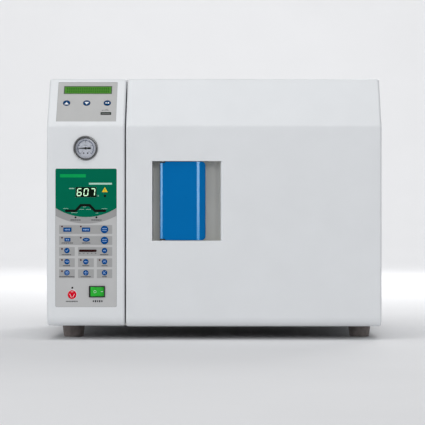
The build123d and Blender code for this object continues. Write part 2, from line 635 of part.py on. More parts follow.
def make_pressure_door():
    """A thick steel disc with a gasket groove, the bridge that carries it, and the hinge arms."""
    groove_y = GASKET_FRONT_Y
    disc = spin([
        (DISC_Y[0] - 14, 0),
        (DISC_Y[0] - 14, 34),
        (DISC_Y[0] - 8, 60),
        (DISC_Y[0], 120),
        (DISC_Y[0], DISC_R),
        (DISC_Y[1], DISC_R),
        (DISC_Y[1], GASKET_R[1]),
        (groove_y, GASKET_R[1]),
        (groove_y, GASKET_R[0]),
        (DISC_Y[1], GASKET_R[0]),
        (DISC_Y[1], 0),
    ], CHAMBER_X, CHAMBER_Z)
    post_x = RIGHT_X - 45
    low_z = HINGE_STARTS[0] - 4
    high_z = HINGE_STARTS[1] + HINGE_HEIGHT + 4
    beam = block((CHAMBER_X - 120, BRIDGE_Y, CHAMBER_Z - 30), (post_x, BRIDGE_Y + 12, CHAMBER_Z + 30))
    boss = rod((CHAMBER_X, BRIDGE_Y + 12, CHAMBER_Z), (0, 1, 0), 28, DISC_Y[0] - 14 - BRIDGE_Y - 12)
    post = block((post_x, BRIDGE_Y, low_z), (post_x + 14, BRIDGE_Y + 20, high_z))
    pieces = [disc, beam, boss, post]
    for low, high in hinge_knuckles((0, 2)):
        pieces.append(rod((HINGE_X, HINGE_Y, low), (0, 0, 1), KNUCKLE_R, high - low))
        pieces.append(block((post_x + 8, HINGE_Y - KNUCKLE_R, low), (HINGE_X, HINGE_Y - 1, high)))
        pieces.append(block((post_x + 2, BRIDGE_Y + 8, low), (post_x + 14, HINGE_Y - 1, high)))
    door = joined(pieces)
    for start in HINGE_STARTS:
        door -= rod((HINGE_X, HINGE_Y, start - 1), (0, 0, 1), HINGE_PIN_R + RUNNING, HINGE_HEIGHT + 2)
    return door


def make_door_gasket():
    return spin([
        (GASKET_FRONT_Y, GASKET_R[0]),
        (GASKET_FRONT_Y, GASKET_R[1]),
        (GASKET_BACK_Y - 1.5, GASKET_R[1]),
        (GASKET_BACK_Y, GASKET_R[1] - 2),
        (GASKET_BACK_Y, GASKET_R[0] + 2),
        (GASKET_BACK_Y - 1.5, GASKET_R[0]),
    ], CHAMBER_X, CHAMBER_Z)


def make_hinge_brackets():
    """The cabinet's half of each hinge: a screwed plate with one knuckle."""
    pieces = []
    for low, high in hinge_knuckles((1,)):
        pieces.append(block((RIGHT_X - 50, CABINET_FRONT_Y - 3, low), (RIGHT_X - 3, CABINET_FRONT_Y, high)))
        pieces.append(block((HINGE_X - 4, HINGE_Y, low), (HINGE_X + KNUCKLE_R - 1, CABINET_FRONT_Y, high)))
        pieces.append(rod((HINGE_X, HINGE_Y, low), (0, 0, 1), KNUCKLE_R, high - low))
    brackets = joined(pieces)
    for start in HINGE_STARTS:
        brackets -= rod((HINGE_X, HINGE_Y, start - 1), (0, 0, 1), HINGE_PIN_R, HINGE_HEIGHT + 2)
    return brackets


def make_hinge_pins():
    pins = []
    for start in HINGE_STARTS:
        pins.append(rod((HINGE_X, HINGE_Y, start - 2), (0, 0, 1), HINGE_PIN_R, HINGE_HEIGHT + 4))
        pins.append(rod((HINGE_X, HINGE_Y, start + HINGE_HEIGHT + 1), (0, 0, 1), HINGE_PIN_R + 2, 2))
    return joined(pins)


# ---------------------------------------------------------------- cabinet
FRAME_HOLE_R = 168.0
FAN_X = -245.0
FAN_Z = 400.0
FAN_SIZE = 120.0
FAN_R = 57.0
FAN_Y = (275.0, 300.0)
INLET_X = -245.0
INLET_Z = 120.0
SPIGOTS = ((-160.0, 80.0), (-110.0, 80.0))      # x and z of the drain and the exhaust
SPIGOT_R = 6.0
FILLER_X = 190.0
FILLER_Y = -60.0
FILLER_HOLE_R = 34.0
FOOT_X = (-290.6, 297.6)
FOOT_Y = (-186.0, 262.0)
FOOT_TOP_R = 23.2
FOOT_BOTTOM_R = 20.2
VENT_LENGTH = 60.0
VENT_HEIGHT = 3.2
VENT_PITCH = 12.0
VENT_COUNT = 8


def make_cabinet_cover():
    """A sheet wrapped over the left side, the top and the right side, with vents at the rear."""
    depth = PANEL_REAR_Y - SHEET - CABINET_FRONT_Y
    outline = [
        (-CABINET_X, CABINET_FRONT_Y, CABINET_BOTTOM_Z),
        (CABINET_X, CABINET_FRONT_Y, CABINET_BOTTOM_Z),
        (CABINET_X, CABINET_FRONT_Y, CABINET_TOP_Z),
        (-CABINET_X, CABINET_FRONT_Y, CABINET_TOP_Z),
    ]
    inside = [
        (x - (SHEET if x > 0 else -SHEET), y, z - SHEET) for x, y, z in outline
    ]
    outer = make_face(FilletPolyline(*outline, radius=[0, 0, TOP_ROUND, TOP_ROUND], close=True))
    inner_round = TOP_ROUND - SHEET
    inner = make_face(FilletPolyline(*inside, radius=[0, 0, inner_round, inner_round], close=True))
    cover = extrude(outer, amount=depth, dir=(0, 1, 0)) - extrude(inner, amount=depth, dir=(0, 1, 0))
    cover -= rod((FILLER_X, FILLER_Y, CABINET_TOP_Z - 5), (0, 0, 1), FILLER_HOLE_R, 10)
    for index in range(VENT_COUNT):
        z = 340 + index * VENT_PITCH
        cover -= block((-CABINET_X - 1, 200, z), (CABINET_X + 1, 200 + VENT_LENGTH, z + VENT_HEIGHT))
    return cover


SADDLE_HALF_X = 110.0
SADDLE_HALF_Y = 12.0
SADDLE_DROP = 130.0             # top of a saddle below the chamber's axis


def make_base_chassis():
    """The floor pan with its turned-up rim and the two saddles that carry the chamber."""
    half_x = CABINET_X - SHEET
    back_y = PANEL_REAR_Y - SHEET
    pan = block((-half_x, FRAME_BACK_Y, CABINET_BOTTOM_Z), (half_x, back_y, CABINET_BOTTOM_Z + 26))
    pan -= block((-half_x + SHEET, FRAME_BACK_Y + SHEET, BASE_TOP_Z), (half_x - SHEET, back_y - SHEET, 200))
    jacket = rod((CHAMBER_X, -300, CHAMBER_Z), (0, 1, 0), JACKET_R, 700)
    for y in (-130.0, 150.0):
        saddle = block(
            (CHAMBER_X - SADDLE_HALF_X, y - SADDLE_HALF_Y, BASE_TOP_Z - 0.5),
            (CHAMBER_X + SADDLE_HALF_X, y + SADDLE_HALF_Y, CHAMBER_Z - SADDLE_DROP),
        )
        pan += saddle - jacket
    return pan


def make_front_frame():
    """The steel plate behind the door, with the chamber's mouth in it."""
    frame = slab(
        (TOWER_RIGHT_X - WALL - 8, CABINET_X - SHEET - 0.3),
        (CABINET_BOTTOM_Z + 0.5, CABINET_TOP_Z - SHEET - 0.3),
        (CABINET_FRONT_Y, FRAME_BACK_Y),
        TOP_ROUND,
    )
    return frame - rod((CHAMBER_X, CABINET_FRONT_Y - 1, CHAMBER_Z), (0, 1, 0), FRAME_HOLE_R, 5)


def make_rear_panel():
    inner_y = PANEL_REAR_Y - SHEET
    panel = block(
        (-CABINET_X + 0.5, inner_y, CABINET_BOTTOM_Z + 0.5),
        (CABINET_X - 0.5, PANEL_REAR_Y, CABINET_TOP_Z - 0.5),
    )
    grille_disc = rod((FAN_X, inner_y - 1, FAN_Z), (0, 1, 0), FAN_R - 2, 4)
    bar_pitch = 9.0
    for index in range(-6, 7):
        x = FAN_X + index * bar_pitch
        slot = block((x - 3, inner_y - 1, FAN_Z - FAN_R), (x + 3, PANEL_REAR_Y + 1, FAN_Z + FAN_R))
        panel -= slot & grille_disc
    panel -= block((INLET_X - 14, inner_y - 1, INLET_Z - 12), (INLET_X + 14, PANEL_REAR_Y + 1, INLET_Z + 12))
    for x, z in SPIGOTS:
        panel -= rod((x, inner_y - 1, z), (0, 1, 0), SPIGOT_R + 0.3, 4)
    panel -= rod((CHAMBER_X, inner_y - 1, CHAMBER_Z), (0, 1, 0), 15, 4)
    return panel


def make_rubber_feet():
    feet = []
    for x in FOOT_X:
        for y in FOOT_Y:
            cone = Pos(x, y, CABINET_BOTTOM_Z / 2) * Cone(FOOT_BOTTOM_R, FOOT_TOP_R, CABINET_BOTTOM_Z)
            rim = cone.edges().filter_by(GeomType.CIRCLE).sort_by(Axis.Z)[0]
            feet.append(fillet(rim, 2.0))
    return Part() + feet


def make_cabinet_screws():
    """Pan-head screws round the edge of the rear panel."""
    screws = []
    for x in (-320.0, -110.0, 110.0, 320.0):
        for z in (42.0, 512.0):
            screws.append((x, z))
    screws += [(x, z) for x in (-320.0, 320.0) for z in (200.0, 355.0)]
    solids = []
    for x, z in screws:
        head = rod((x, PANEL_REAR_Y, z), (0, 1, 0), 3.6, 2.2)
        head = fillet(head.edges().filter_by(GeomType.CIRCLE).sort_by(Axis.Y)[-1], 1.2)
        cross = block((x - 2, PANEL_REAR_Y + 1, z - 0.4), (x + 2, PANEL_REAR_Y + 3, z + 0.4))
        cross += block((x - 0.4, PANEL_REAR_Y + 1, z - 2), (x + 0.4, PANEL_REAR_Y + 3, z + 2))
        solids.append(head - cross)
    return Part() + solids


# ---------------------------------------------------------------- chamber and trays
RACK_HALF_X = 106.0
RACK_HALF_Z = 85.0
RACK_Y = (-185.0, 195.0)
RACK_SHEET = 1.5
LEDGE_ZS = (-52.0, 24.0)        # ledge heights from the chamber's axis
LEDGE_WIDTH = 12.0
RUNNER_X = 70.0
RUNNER_WIDTH = 6.0
STRIP_WIDTH = 20.0
TRAY_HALF_X = 102.0
TRAY_Y = (-172.0, 188.0)
TRAY_HEIGHT = 18.0
TRAY_SHEET = 1.2


def make_chamber_vessel():
    """A steel barrel with a dished back and a thick flange round its mouth."""
    return spin([
        (FRAME_BACK_Y, BORE_R),
        (FRAME_BACK_Y, FLANGE_R),
        (FRAME_BACK_Y + FLANGE_THICK, FLANGE_R),
        (FRAME_BACK_Y + FLANGE_THICK, SHELL_R),
        (CHAMBER_BACK_Y, SHELL_R),
        (CHAMBER_BACK_Y + DISH_DEPTH * 0.6, SHELL_R * 0.8),
        (CHAMBER_BACK_Y + DISH_DEPTH, SHELL_R * 0.4),
        (CHAMBER_BACK_Y + DISH_DEPTH, 0),
        (CHAMBER_BACK_Y + DISH_DEPTH - 3, 0),
        (CHAMBER_BACK_Y + DISH_DEPTH - 3, SHELL_R * 0.4),
        (CHAMBER_BACK_Y + DISH_DEPTH * 0.6 - 3, SHELL_R * 0.8 - 1.5),
        (CHAMBER_BACK_Y - 1, BORE_R),
    ], CHAMBER_X, CHAMBER_Z)


def make_insulation_jacket():
    front_y = FRAME_BACK_Y + FLANGE_THICK + 1
    jacket = spin([
        (front_y, JACKET_IN_R),
        (front_y, JACKET_R),
        (JACKET_BACK_Y, JACKET_R),
        (JACKET_BACK_Y, 14),
        (JACKET_BACK_Y - 24, 14),
        (JACKET_BACK_Y - 24, JACKET_IN_R),
    ], CHAMBER_X, CHAMBER_Z)
    return jacket


def make_band_heaters():
    bands = []
    for y in (-140.0, -20.0, 100.0):
        band = ring((CHAMBER_X, y, CHAMBER_Z), (0, 1, 0), HEATER_R, SHELL_R, 45)
        gap = block((CHAMBER_X - 4, y - 1, CHAMBER_Z - 170), (CHAMBER_X + 4, y + 46, CHAMBER_Z - 140))
        bands.append(band - gap)
    return Part() + bands


def make_tray_rack():
    """Two side plates with ledges, spot-welded to cross strips that stand on two runners."""
    pieces = []
    low_z = CHAMBER_Z - RACK_HALF_Z
    plate_inner_x = RACK_HALF_X - RACK_SHEET
    for side in (-1, 1):
        plate_x = sorted((CHAMBER_X + side * RACK_HALF_X, CHAMBER_X + side * plate_inner_x))
        pieces.append(block((plate_x[0], RACK_Y[0], low_z), (plate_x[1], RACK_Y[1], CHAMBER_Z + RACK_HALF_Z)))
        ledge_x = sorted((CHAMBER_X + side * plate_inner_x, CHAMBER_X + side * (RACK_HALF_X - LEDGE_WIDTH)))
        for z in LEDGE_ZS:
            top_z = CHAMBER_Z + z
            pieces.append(block((ledge_x[0], RACK_Y[0], top_z - RACK_SHEET), (ledge_x[1], RACK_Y[1], top_z)))
        runner_x = CHAMBER_X + side * RUNNER_X
        runner = block(
            (runner_x - RUNNER_WIDTH / 2, RACK_Y[0], CHAMBER_Z - BORE_R),
            (runner_x + RUNNER_WIDTH / 2, RACK_Y[1], low_z),
        )
        bore = rod((CHAMBER_X, RACK_Y[0] - 5, CHAMBER_Z), (0, 1, 0), BORE_R - 0.3, 500)
        pieces.append((runner & bore).solid())
    for y in (RACK_Y[0], -STRIP_WIDTH / 2, RACK_Y[1] - STRIP_WIDTH):
        pieces.append(block(
            (CHAMBER_X - plate_inner_x, y, low_z),
            (CHAMBER_X + plate_inner_x, y + STRIP_WIDTH, low_z + RACK_SHEET),
        ))
    return Compound(children=pieces)


def make_tray(ledge_z):
    """A perforated steel tray that sits on one pair of ledges."""
    low_z = CHAMBER_Z + ledge_z + 0.3
    tray = block(
        (CHAMBER_X - TRAY_HALF_X, TRAY_Y[0], low_z),
        (CHAMBER_X + TRAY_HALF_X, TRAY_Y[1], low_z + TRAY_HEIGHT),
    )
    tray -= block(
        (CHAMBER_X - TRAY_HALF_X + TRAY_SHEET, TRAY_Y[0] + TRAY_SHEET, low_z + TRAY_SHEET),
        (CHAMBER_X + TRAY_HALF_X - TRAY_SHEET, TRAY_Y[1] - TRAY_SHEET, low_z + TRAY_HEIGHT + 1),
    )
    slot_rows = 7
    pitch = (TRAY_Y[1] - TRAY_Y[0]) / slot_rows
    for row in range(slot_rows):
        y = TRAY_Y[0] + (row + 0.5) * pitch
        for x in (-60.0, 0.0, 60.0):
            middle = CHAMBER_X + x
            tray -= block((middle - 20, y - 2, low_z - 1), (middle + 20, y + 2, low_z + TRAY_SHEET + 1))
    return tray


# ---------------------------------------------------------------- water and steam
TANK_X = (60.0, 300.0)
TANK_Y = (-160.0, 60.0)
TANK_Z = (462.0, 506.0)
TANK_WALL = 3.0
NECK_R = 26.0
NECK_BORE_R = 22.0
NECK_TOP_Z = 512.0


def make_water_reservoir():
    """A flat tank over the chamber, on two ribs that rest on the jacket, with a filler neck."""
    tank = block((TANK_X[0], TANK_Y[0], TANK_Z[0]), (TANK_X[1], TANK_Y[1], TANK_Z[1]))
    jacket = rod((CHAMBER_X, -300, CHAMBER_Z), (0, 1, 0), JACKET_R, 700)
    for y in (TANK_Y[0] + 30, TANK_Y[1] - 30):
        rib = block((TANK_X[0] - 30, y - 4, TANK_Z[0] - 30), (TANK_X[0] + 110, y + 4, TANK_Z[0] + 1))
        tank += rib - jacket
    tank += rod((FILLER_X, FILLER_Y, TANK_Z[1] - 1), (0, 0, 1), NECK_R, NECK_TOP_Z - TANK_Z[1] + 1)
    tank -= block(
        [value + TANK_WALL for value in (TANK_X[0], TANK_Y[0], TANK_Z[0])],
        [value - TANK_WALL for value in (TANK_X[1], TANK_Y[1], TANK_Z[1])],
    )
    return tank - rod((FILLER_X, FILLER_Y, TANK_Z[1] - 8), (0, 0, 1), NECK_BORE_R, 20)


def make_reservoir_cap():
    """A push-in cap, level with the top of the cabinet, with a finger grip across it."""
    plug = rod((FILLER_X, FILLER_Y, NECK_TOP_Z - 9), (0, 0, 1), NECK_BORE_R - 0.4, 10)
    flange = rod((FILLER_X, FILLER_Y, NECK_TOP_Z + 0.3), (0, 0, 1), NECK_R + 4, 5)
    flange = fillet(flange.edges().filter_by(GeomType.CIRCLE).sort_by(Axis.Z)[-1], 1.5)
    grip = block(
        (FILLER_X - 22, FILLER_Y - 3, NECK_TOP_Z + 4),
        (FILLER_X + 22, FILLER_Y + 3, CABINET_TOP_Z - 0.8),
    )
    return joined([plug, flange, grip])


def make_valve_block():
    """The manifold on the floor pan, with three solenoid coils and their pipe stubs."""
    pieces = [block((-310, 40, BASE_TOP_Z), (-220, 170, BASE_TOP_Z + 32))]
    for y in (62.0, 105.0, 148.0):
        pieces.append(rod((-265, y, BASE_TOP_Z + 31), (0, 0, 1), 17, 42))
        pieces.append(rod((-265, y, BASE_TOP_Z + 72), (0, 0, 1), 6, 10))
        pieces.append(rod((-221, y, BASE_TOP_Z + 16), (1, 0, 0), 5, 18))
    return joined(pieces)


def make_safety_valve():
    """Screwed into the back of the chamber and led out through the rear panel."""
    start_y = CHAMBER_BACK_Y + DISH_DEPTH
    stem = rod((CHAMBER_X, start_y, CHAMBER_Z), (0, 1, 0), 8, REAR_Y - start_y)
    nut = Plane(origin=(CHAMBER_X, JACKET_BACK_Y + 4, CHAMBER_Z), z_dir=(0, 1, 0)) * extrude(
        RegularPolygon(14, 6), amount=10
    )
    cap = rod((CHAMBER_X, PANEL_REAR_Y + 2, CHAMBER_Z), (0, 1, 0), 13, REAR_Y - PANEL_REAR_Y - 6)
    outlet = rod((CHAMBER_X, REAR_Y - 2, CHAMBER_Z), (0, -1, 0), 4, 20)
    return joined([stem, nut, cap]) - outlet


def make_drain_fittings():
    """Two hose spigots with a flange, a nut inside the panel, and two barbs."""
    solids = []
    for x, z in SPIGOTS:
        inner_y = PANEL_REAR_Y - SHEET
        spigot = rod((x, inner_y - 20, z), (0, 1, 0), SPIGOT_R, REAR_Y - inner_y + 20)
        spigot += rod((x, PANEL_REAR_Y, z), (0, 1, 0), SPIGOT_R + 4, 3)
        spigot += rod((x, inner_y - 5, z), (0, 1, 0), SPIGOT_R + 4, 5)
        spigot -= rod((x, inner_y - 30, z), (0, 1, 0), 2.0, 80)
        solids.append(spigot)
    return Part() + solids


# ---------------------------------------------------------------- rear electrics
INLET_FLANGE_Y = 3.0
PIN_SIZE = (2.0, 4.0)


def make_power_inlet():
    """A three-pin appliance inlet with a flange outside the panel."""
    body = block(
        (INLET_X - 13.7, PANEL_REAR_Y - 24, INLET_Z - 11.7),
        (INLET_X + 13.7, PANEL_REAR_Y + 0.5, INLET_Z + 11.7),
    )
    flange = block(
        (INLET_X - 25, PANEL_REAR_Y, INLET_Z - 15),
        (INLET_X + 25, PANEL_REAR_Y + INLET_FLANGE_Y, INLET_Z + 15),
    )
    well = block(
        (INLET_X - 12, PANEL_REAR_Y - 16, INLET_Z - 8), (INLET_X + 12, PANEL_REAR_Y + 5, INLET_Z + 8)
    )
    inlet = body + flange - well
    for x, z in ((-7.0, -2.0), (0.0, 2.0), (7.0, -2.0)):
        inlet += block(
            (INLET_X + x - PIN_SIZE[0] / 2, PANEL_REAR_Y - 17, INLET_Z + z - PIN_SIZE[1] / 2),
            (INLET_X + x + PIN_SIZE[0] / 2, PANEL_REAR_Y - 3, INLET_Z + z + PIN_SIZE[1] / 2),
        )
    return inlet


def make_fan_frame():
    half = FAN_SIZE / 2
    frame = block((FAN_X - half, FAN_Y[0], FAN_Z - half), (FAN_X + half, FAN_Y[1], FAN_Z + half))
    frame = fillet(frame.edges().filter_by(Axis.Y), 6)
    frame -= rod((FAN_X, FAN_Y[0] - 1, FAN_Z), (0, 1, 0), FAN_R, 30)
    hub = rod((FAN_X, FAN_Y[0], FAN_Z), (0, 1, 0), 18, 4)
    struts = []
    for angle in (30.0, 150.0, 270.0):
        strut = block((0, FAN_Y[0], -3), (FAN_R + 2, FAN_Y[0] + 4, 3))
        struts.append(Pos(FAN_X, 0, FAN_Z) * Rot(0, angle, 0) * strut)
    pin = rod((FAN_X, FAN_Y[0] + 3, FAN_Z), (0, 1, 0), 2.5, 16)
    return joined([frame, hub, *struts, pin])


def make_fan_rotor():
    """The hub and seven pitched blades."""
    blade_count = 7
    front_y = FAN_Y[0] + 5
    rotor = rod((FAN_X, front_y, FAN_Z), (0, 1, 0), 20, 16)
    for index in range(blade_count):
        blade = Pos(36, front_y + 8, 0) * Rot(40, 0, 0) * Box(36, 14, 1.6)
        rotor += Pos(FAN_X, 0, FAN_Z) * Rot(0, 360.0 * index / blade_count, 0) * blade
    return rotor - rod((FAN_X, front_y - 1, FAN_Z), (0, 1, 0), 2.5 + RUNNING, 16)


# ---------------------------------------------------------------- write the nodes
NODES = {
    "base_chassis": make_base_chassis,
    "cabinet_cover": make_cabinet_cover,
    "rear_panel": make_rear_panel,
    "front_frame": make_front_frame,
    "control_fascia": make_control_fascia,
    "rubber_feet": make_rubber_feet,
    "cabinet_screws": make_cabinet_screws,
    "chamber_vessel": make_chamber_vessel,
    "insulation_jacket": make_insulation_jacket,
    "band_heaters": make_band_heaters,
    "tray_rack": make_tray_rack,
    "lower_tray": lambda: make_tray(LEDGE_ZS[0]),
    "upper_tray": lambda: make_tray(LEDGE_ZS[1]),
    "door_cover": make_door_cover,
    "handle_pocket": make_handle_pocket,
    "door_liner": make_door_liner,
    "pressure_door": make_pressure_door,
    "door_gasket": make_door_gasket,
    "hinge_brackets": make_hinge_brackets,
    "hinge_pins": make_hinge_pins,
    "handle_lever": make_handle_lever,
    "handle_shaft": make_handle_shaft,
    "latch_slider": make_latch_slider,
    "lock_actuator": make_lock_actuator,
    "lock_bolt": make_lock_bolt,
    "water_reservoir": make_water_reservoir,
    "reservoir_cap": make_reservoir_cap,
    "valve_block": make_valve_block,
    "safety_valve": make_safety_valve,
    "drain_fittings": make_drain_fittings,
    "gauge_case": make_gauge_case,
    "gauge_needle": make_gauge_needle,
    "gauge_glass": make_gauge_glass,
    "main_overlay": make_main_overlay,
    "lcd_overlay": make_lcd_overlay,
    "control_board": make_control_board,
    "lcd_module": make_lcd_module,
    "rocker_bezel": make_rocker_bezel,
    "rocker_button": make_rocker_button,
    "power_inlet": make_power_inlet,
    "fan_frame": make_fan_frame,
    "fan_rotor": make_fan_rotor,
}


def main():
    os.makedirs("parts", exist_ok=True)
    shapes = {name: make() for name, make in NODES.items()}
    shapes.update(make_keys())
    for name, shape in shapes.items():
        export_step(shape, f"parts/{name}.step")


main()
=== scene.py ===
import json
import math

import bmesh
import bpy
from mathutils import Matrix, Vector


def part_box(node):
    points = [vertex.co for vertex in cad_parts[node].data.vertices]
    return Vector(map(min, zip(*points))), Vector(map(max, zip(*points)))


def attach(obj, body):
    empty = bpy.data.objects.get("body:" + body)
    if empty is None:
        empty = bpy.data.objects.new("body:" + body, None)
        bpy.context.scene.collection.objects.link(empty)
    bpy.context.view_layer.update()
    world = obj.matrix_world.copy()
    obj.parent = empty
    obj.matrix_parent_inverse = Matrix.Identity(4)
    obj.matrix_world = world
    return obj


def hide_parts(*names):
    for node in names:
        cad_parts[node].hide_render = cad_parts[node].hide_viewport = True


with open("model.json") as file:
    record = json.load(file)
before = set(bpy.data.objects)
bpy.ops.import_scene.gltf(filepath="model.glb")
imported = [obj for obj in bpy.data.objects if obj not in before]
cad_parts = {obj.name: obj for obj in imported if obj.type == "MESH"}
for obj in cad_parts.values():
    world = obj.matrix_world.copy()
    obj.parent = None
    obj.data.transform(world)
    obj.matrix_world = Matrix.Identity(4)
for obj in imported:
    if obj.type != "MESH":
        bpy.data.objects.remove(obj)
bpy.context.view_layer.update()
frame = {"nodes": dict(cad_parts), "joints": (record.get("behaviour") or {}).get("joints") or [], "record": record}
MM = 0.001
JOINTS = {joint["name"]: joint for joint in frame["joints"]}
BODY_OF = {
    node: body
    for body, nodes in frame["record"]["behaviour"]["bodies"].items()
    for node in nodes
}
scene = bpy.context.scene

# ---------------- where things are
PANEL_LOW, PANEL_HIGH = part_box("main_overlay")
HEAD_LOW, HEAD_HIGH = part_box("lcd_overlay")
RIGHT = Vector((1, 0, 0))
UP = Vector((0, 0, 1))


def middle(node):
    """The centre of a CAD node's box."""
    low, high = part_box(node)
    return (low + high) / 2


def size_mm(node):
    """The width, depth and height of a CAD node's box, in millimetres."""
    low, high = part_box(node)
    return [(end - start) / MM for start, end in zip(low, high)]


def plane_matrix(origin, right, up):
    """The frame of a panel: x to the right, y up its face, z out of it."""
    out = right.cross(up)
    matrix = Matrix((right, up, out)).transposed().to_4x4()
    matrix.translation = origin
    return matrix


def facing_back(point):
    """The frame of the machine's back at a point, z out of it."""
    return plane_matrix(point, -RIGHT, UP)


# The main panel's face, measured in millimetres from its lower left corner.
PANEL = plane_matrix(PANEL_LOW, RIGHT, UP)
# The sloped panel's face, measured in millimetres from its middle.
HEAD_INWARD = Vector(JOINTS["key_up_press"]["axis"]).normalized()
HEAD_UP = Vector((0, -HEAD_INWARD.z, HEAD_INWARD.y))
OVERLAY_THICK = PANEL_HIGH.y - PANEL_LOW.y
HEAD = plane_matrix((HEAD_LOW + HEAD_HIGH) / 2 - HEAD_INWARD * OVERLAY_THICK / 2, RIGHT, HEAD_UP)
PANEL_WIDTH, _, PANEL_HEIGHT = size_mm("main_overlay")


# ---------------- material building
class Finish:
    """A Principled material with short ways to add noise and bump."""

    def __init__(self, name, colour, roughness=0.4, metallic=0.0):
        self.material = bpy.data.materials.new(name)
        self.material.use_nodes = True
        self.nodes = self.material.node_tree.nodes
        self.links = self.material.node_tree.links
        self.shader = self.nodes["Principled BSDF"]
        self.shader.inputs["Base Color"].default_value = (*colour, 1)
        self.shader.inputs["Roughness"].default_value = roughness
        self.shader.inputs["Metallic"].default_value = metallic
        self.place = self.nodes.new("ShaderNodeTexCoord").outputs["Object"]
        self.height = None

    def scaled(self, scale):
        """Object coordinates stretched by a factor on each axis."""
        mapping = self.nodes.new("ShaderNodeMapping")
        mapping.inputs["Scale"].default_value = scale
        self.links.new(self.place, mapping.inputs["Vector"])
        return mapping.outputs["Vector"]

    def noise(self, size, detail=3.0, stretch=(1, 1, 1)):
        """A noise whose features are about one size across, in millimetres."""
        texture = self.nodes.new("ShaderNodeTexNoise")
        texture.inputs["Scale"].default_value = 1.0
        texture.inputs["Detail"].default_value = detail
        per_metre = 1 / (size * MM)
        self.links.new(self.scaled([per_metre * s for s in stretch]), texture.inputs["Vector"])
        return texture.outputs["Fac"]

    def spread(self, value, low, high, start=0.3, end=0.7):
        """A value from start to end turned into one from low to high."""
        node = self.nodes.new("ShaderNodeMapRange")
        node.inputs["From Min"].default_value = start
        node.inputs["From Max"].default_value = end
        node.inputs["To Min"].default_value = low
        node.inputs["To Max"].default_value = high
        self.links.new(value, node.inputs["Value"])
        return node.outputs["Result"]

    def mix(self, factor, first, second):
        """Two colours mixed by a factor; each is a colour or a socket."""
        node = self.nodes.new("ShaderNodeMix")
        node.data_type = "RGBA"
        self.links.new(factor, node.inputs["Factor"])
        for socket, value in ((node.inputs[6], first), (node.inputs[7], second)):
            if isinstance(value, tuple):
                socket.default_value = (*value, 1)
            else:
                self.links.new(value, socket)
        return node.outputs[2]

    def math(self, operation, first, second=0.0):
        """Two numbers put together; each is a number or a socket."""
        node = self.nodes.new("ShaderNodeMath")
        node.operation = operation
        for socket, value in zip(node.inputs, (first, second)):
            if isinstance(value, (int, float)):
                socket.default_value = value
            else:
                self.links.new(value, socket)
        return node.outputs[0]

    def colour(self, value):
        self.links.new(value, self.shader.inputs["Base Color"])

    def rough(self, value, low, high, start=0.3, end=0.7):
        """A roughness from low to high where a value goes from start to end."""
        self.links.new(self.spread(value, low, high, start, end), self.shader.inputs["Roughness"])

    def vector(self, operation, first, second=None):
        """Vector arithmetic on a socket, with a constant if there is one."""
        node = self.nodes.new("ShaderNodeVectorMath")
        node.operation = operation
        self.links.new(first, node.inputs[0])
        if second is not None:
            node.inputs[1].default_value = second
        return node.outputs["Value" if operation == "LENGTH" else "Vector"]

    def bump(self, value, depth, strength=0.5):
        """Adds relief of a depth in millimetres; later calls add to earlier ones."""
        node = self.nodes.new("ShaderNodeBump")
        node.inputs["Strength"].default_value = strength
        node.inputs["Distance"].default_value = depth * MM
        self.links.new(value, node.inputs["Height"])
        if self.height is not None:
            self.links.new(self.height, node.inputs["Normal"])
        self.height = node.outputs["Normal"]
        self.links.new(self.height, self.shader.inputs["Normal"])

    def set(self, **values):
        """Uniform shader values, with _ for the spaces in their names."""
        for name, value in values.items():
            self.shader.inputs[name.replace("_", " ")].default_value = value
        return self


def mottled(finish, base, size=60, amount=0.03):
    """A faint cloudiness in a moulded or painted colour."""
    darker = tuple(channel * (1 - amount) for channel in base)
    lighter = tuple(min(1, channel * (1 + amount)) for channel in base)
    finish.colour(finish.mix(finish.spread(finish.noise(size), 0, 1), darker, lighter))


def moulded_plastic(name, base, roughness=0.38, grain=0.9, relief=0.012):
    """Satin moulded plastic: a fine spark-eroded grain, faint cloudiness, uneven gloss."""
    finish = Finish(name, base, roughness)
    mottled(finish, base, 60, 0.012)
    finish.rough(finish.noise(9, 4), roughness - 0.03, roughness + 0.04)
    finish.bump(finish.noise(grain, 2), relief)
    finish.set(Specular_IOR_Level=0.35)
    return finish


def painted_steel(name, base, roughness=0.42):
    """Powder coat on sheet: orange peel over a gentle waviness."""
    finish = Finish(name, base, roughness)
    mottled(finish, base, 90, 0.012)
    finish.bump(finish.noise(3.2, 2), 0.05, 0.45)
    finish.bump(finish.noise(110, 1), 0.5, 0.25)
    finish.rough(finish.noise(8, 3), roughness - 0.06, roughness + 0.08)
    return finish


def brushed_steel(name, base, along="x", roughness=0.28):
    """Stainless steel with grain along one axis and a few scratches."""
    stretch = {"x": (0.02, 1, 1), "y": (1, 0.02, 1), "z": (1, 1, 0.02)}[along]
    finish = Finish(name, base, roughness, 1.0)
    grain = finish.noise(0.7, 4, stretch)
    wide = finish.noise(6, 2, stretch)
    darker = tuple(channel * 0.82 for channel in base)
    finish.colour(finish.mix(finish.spread(grain, 0, 1), darker, base))
    finish.rough(finish.math("ADD", grain, wide), roughness - 0.08, roughness + 0.14, 0.6, 1.4)
    finish.bump(grain, 0.01, 0.35)
    return finish


RINGS_PER_METRE = 900


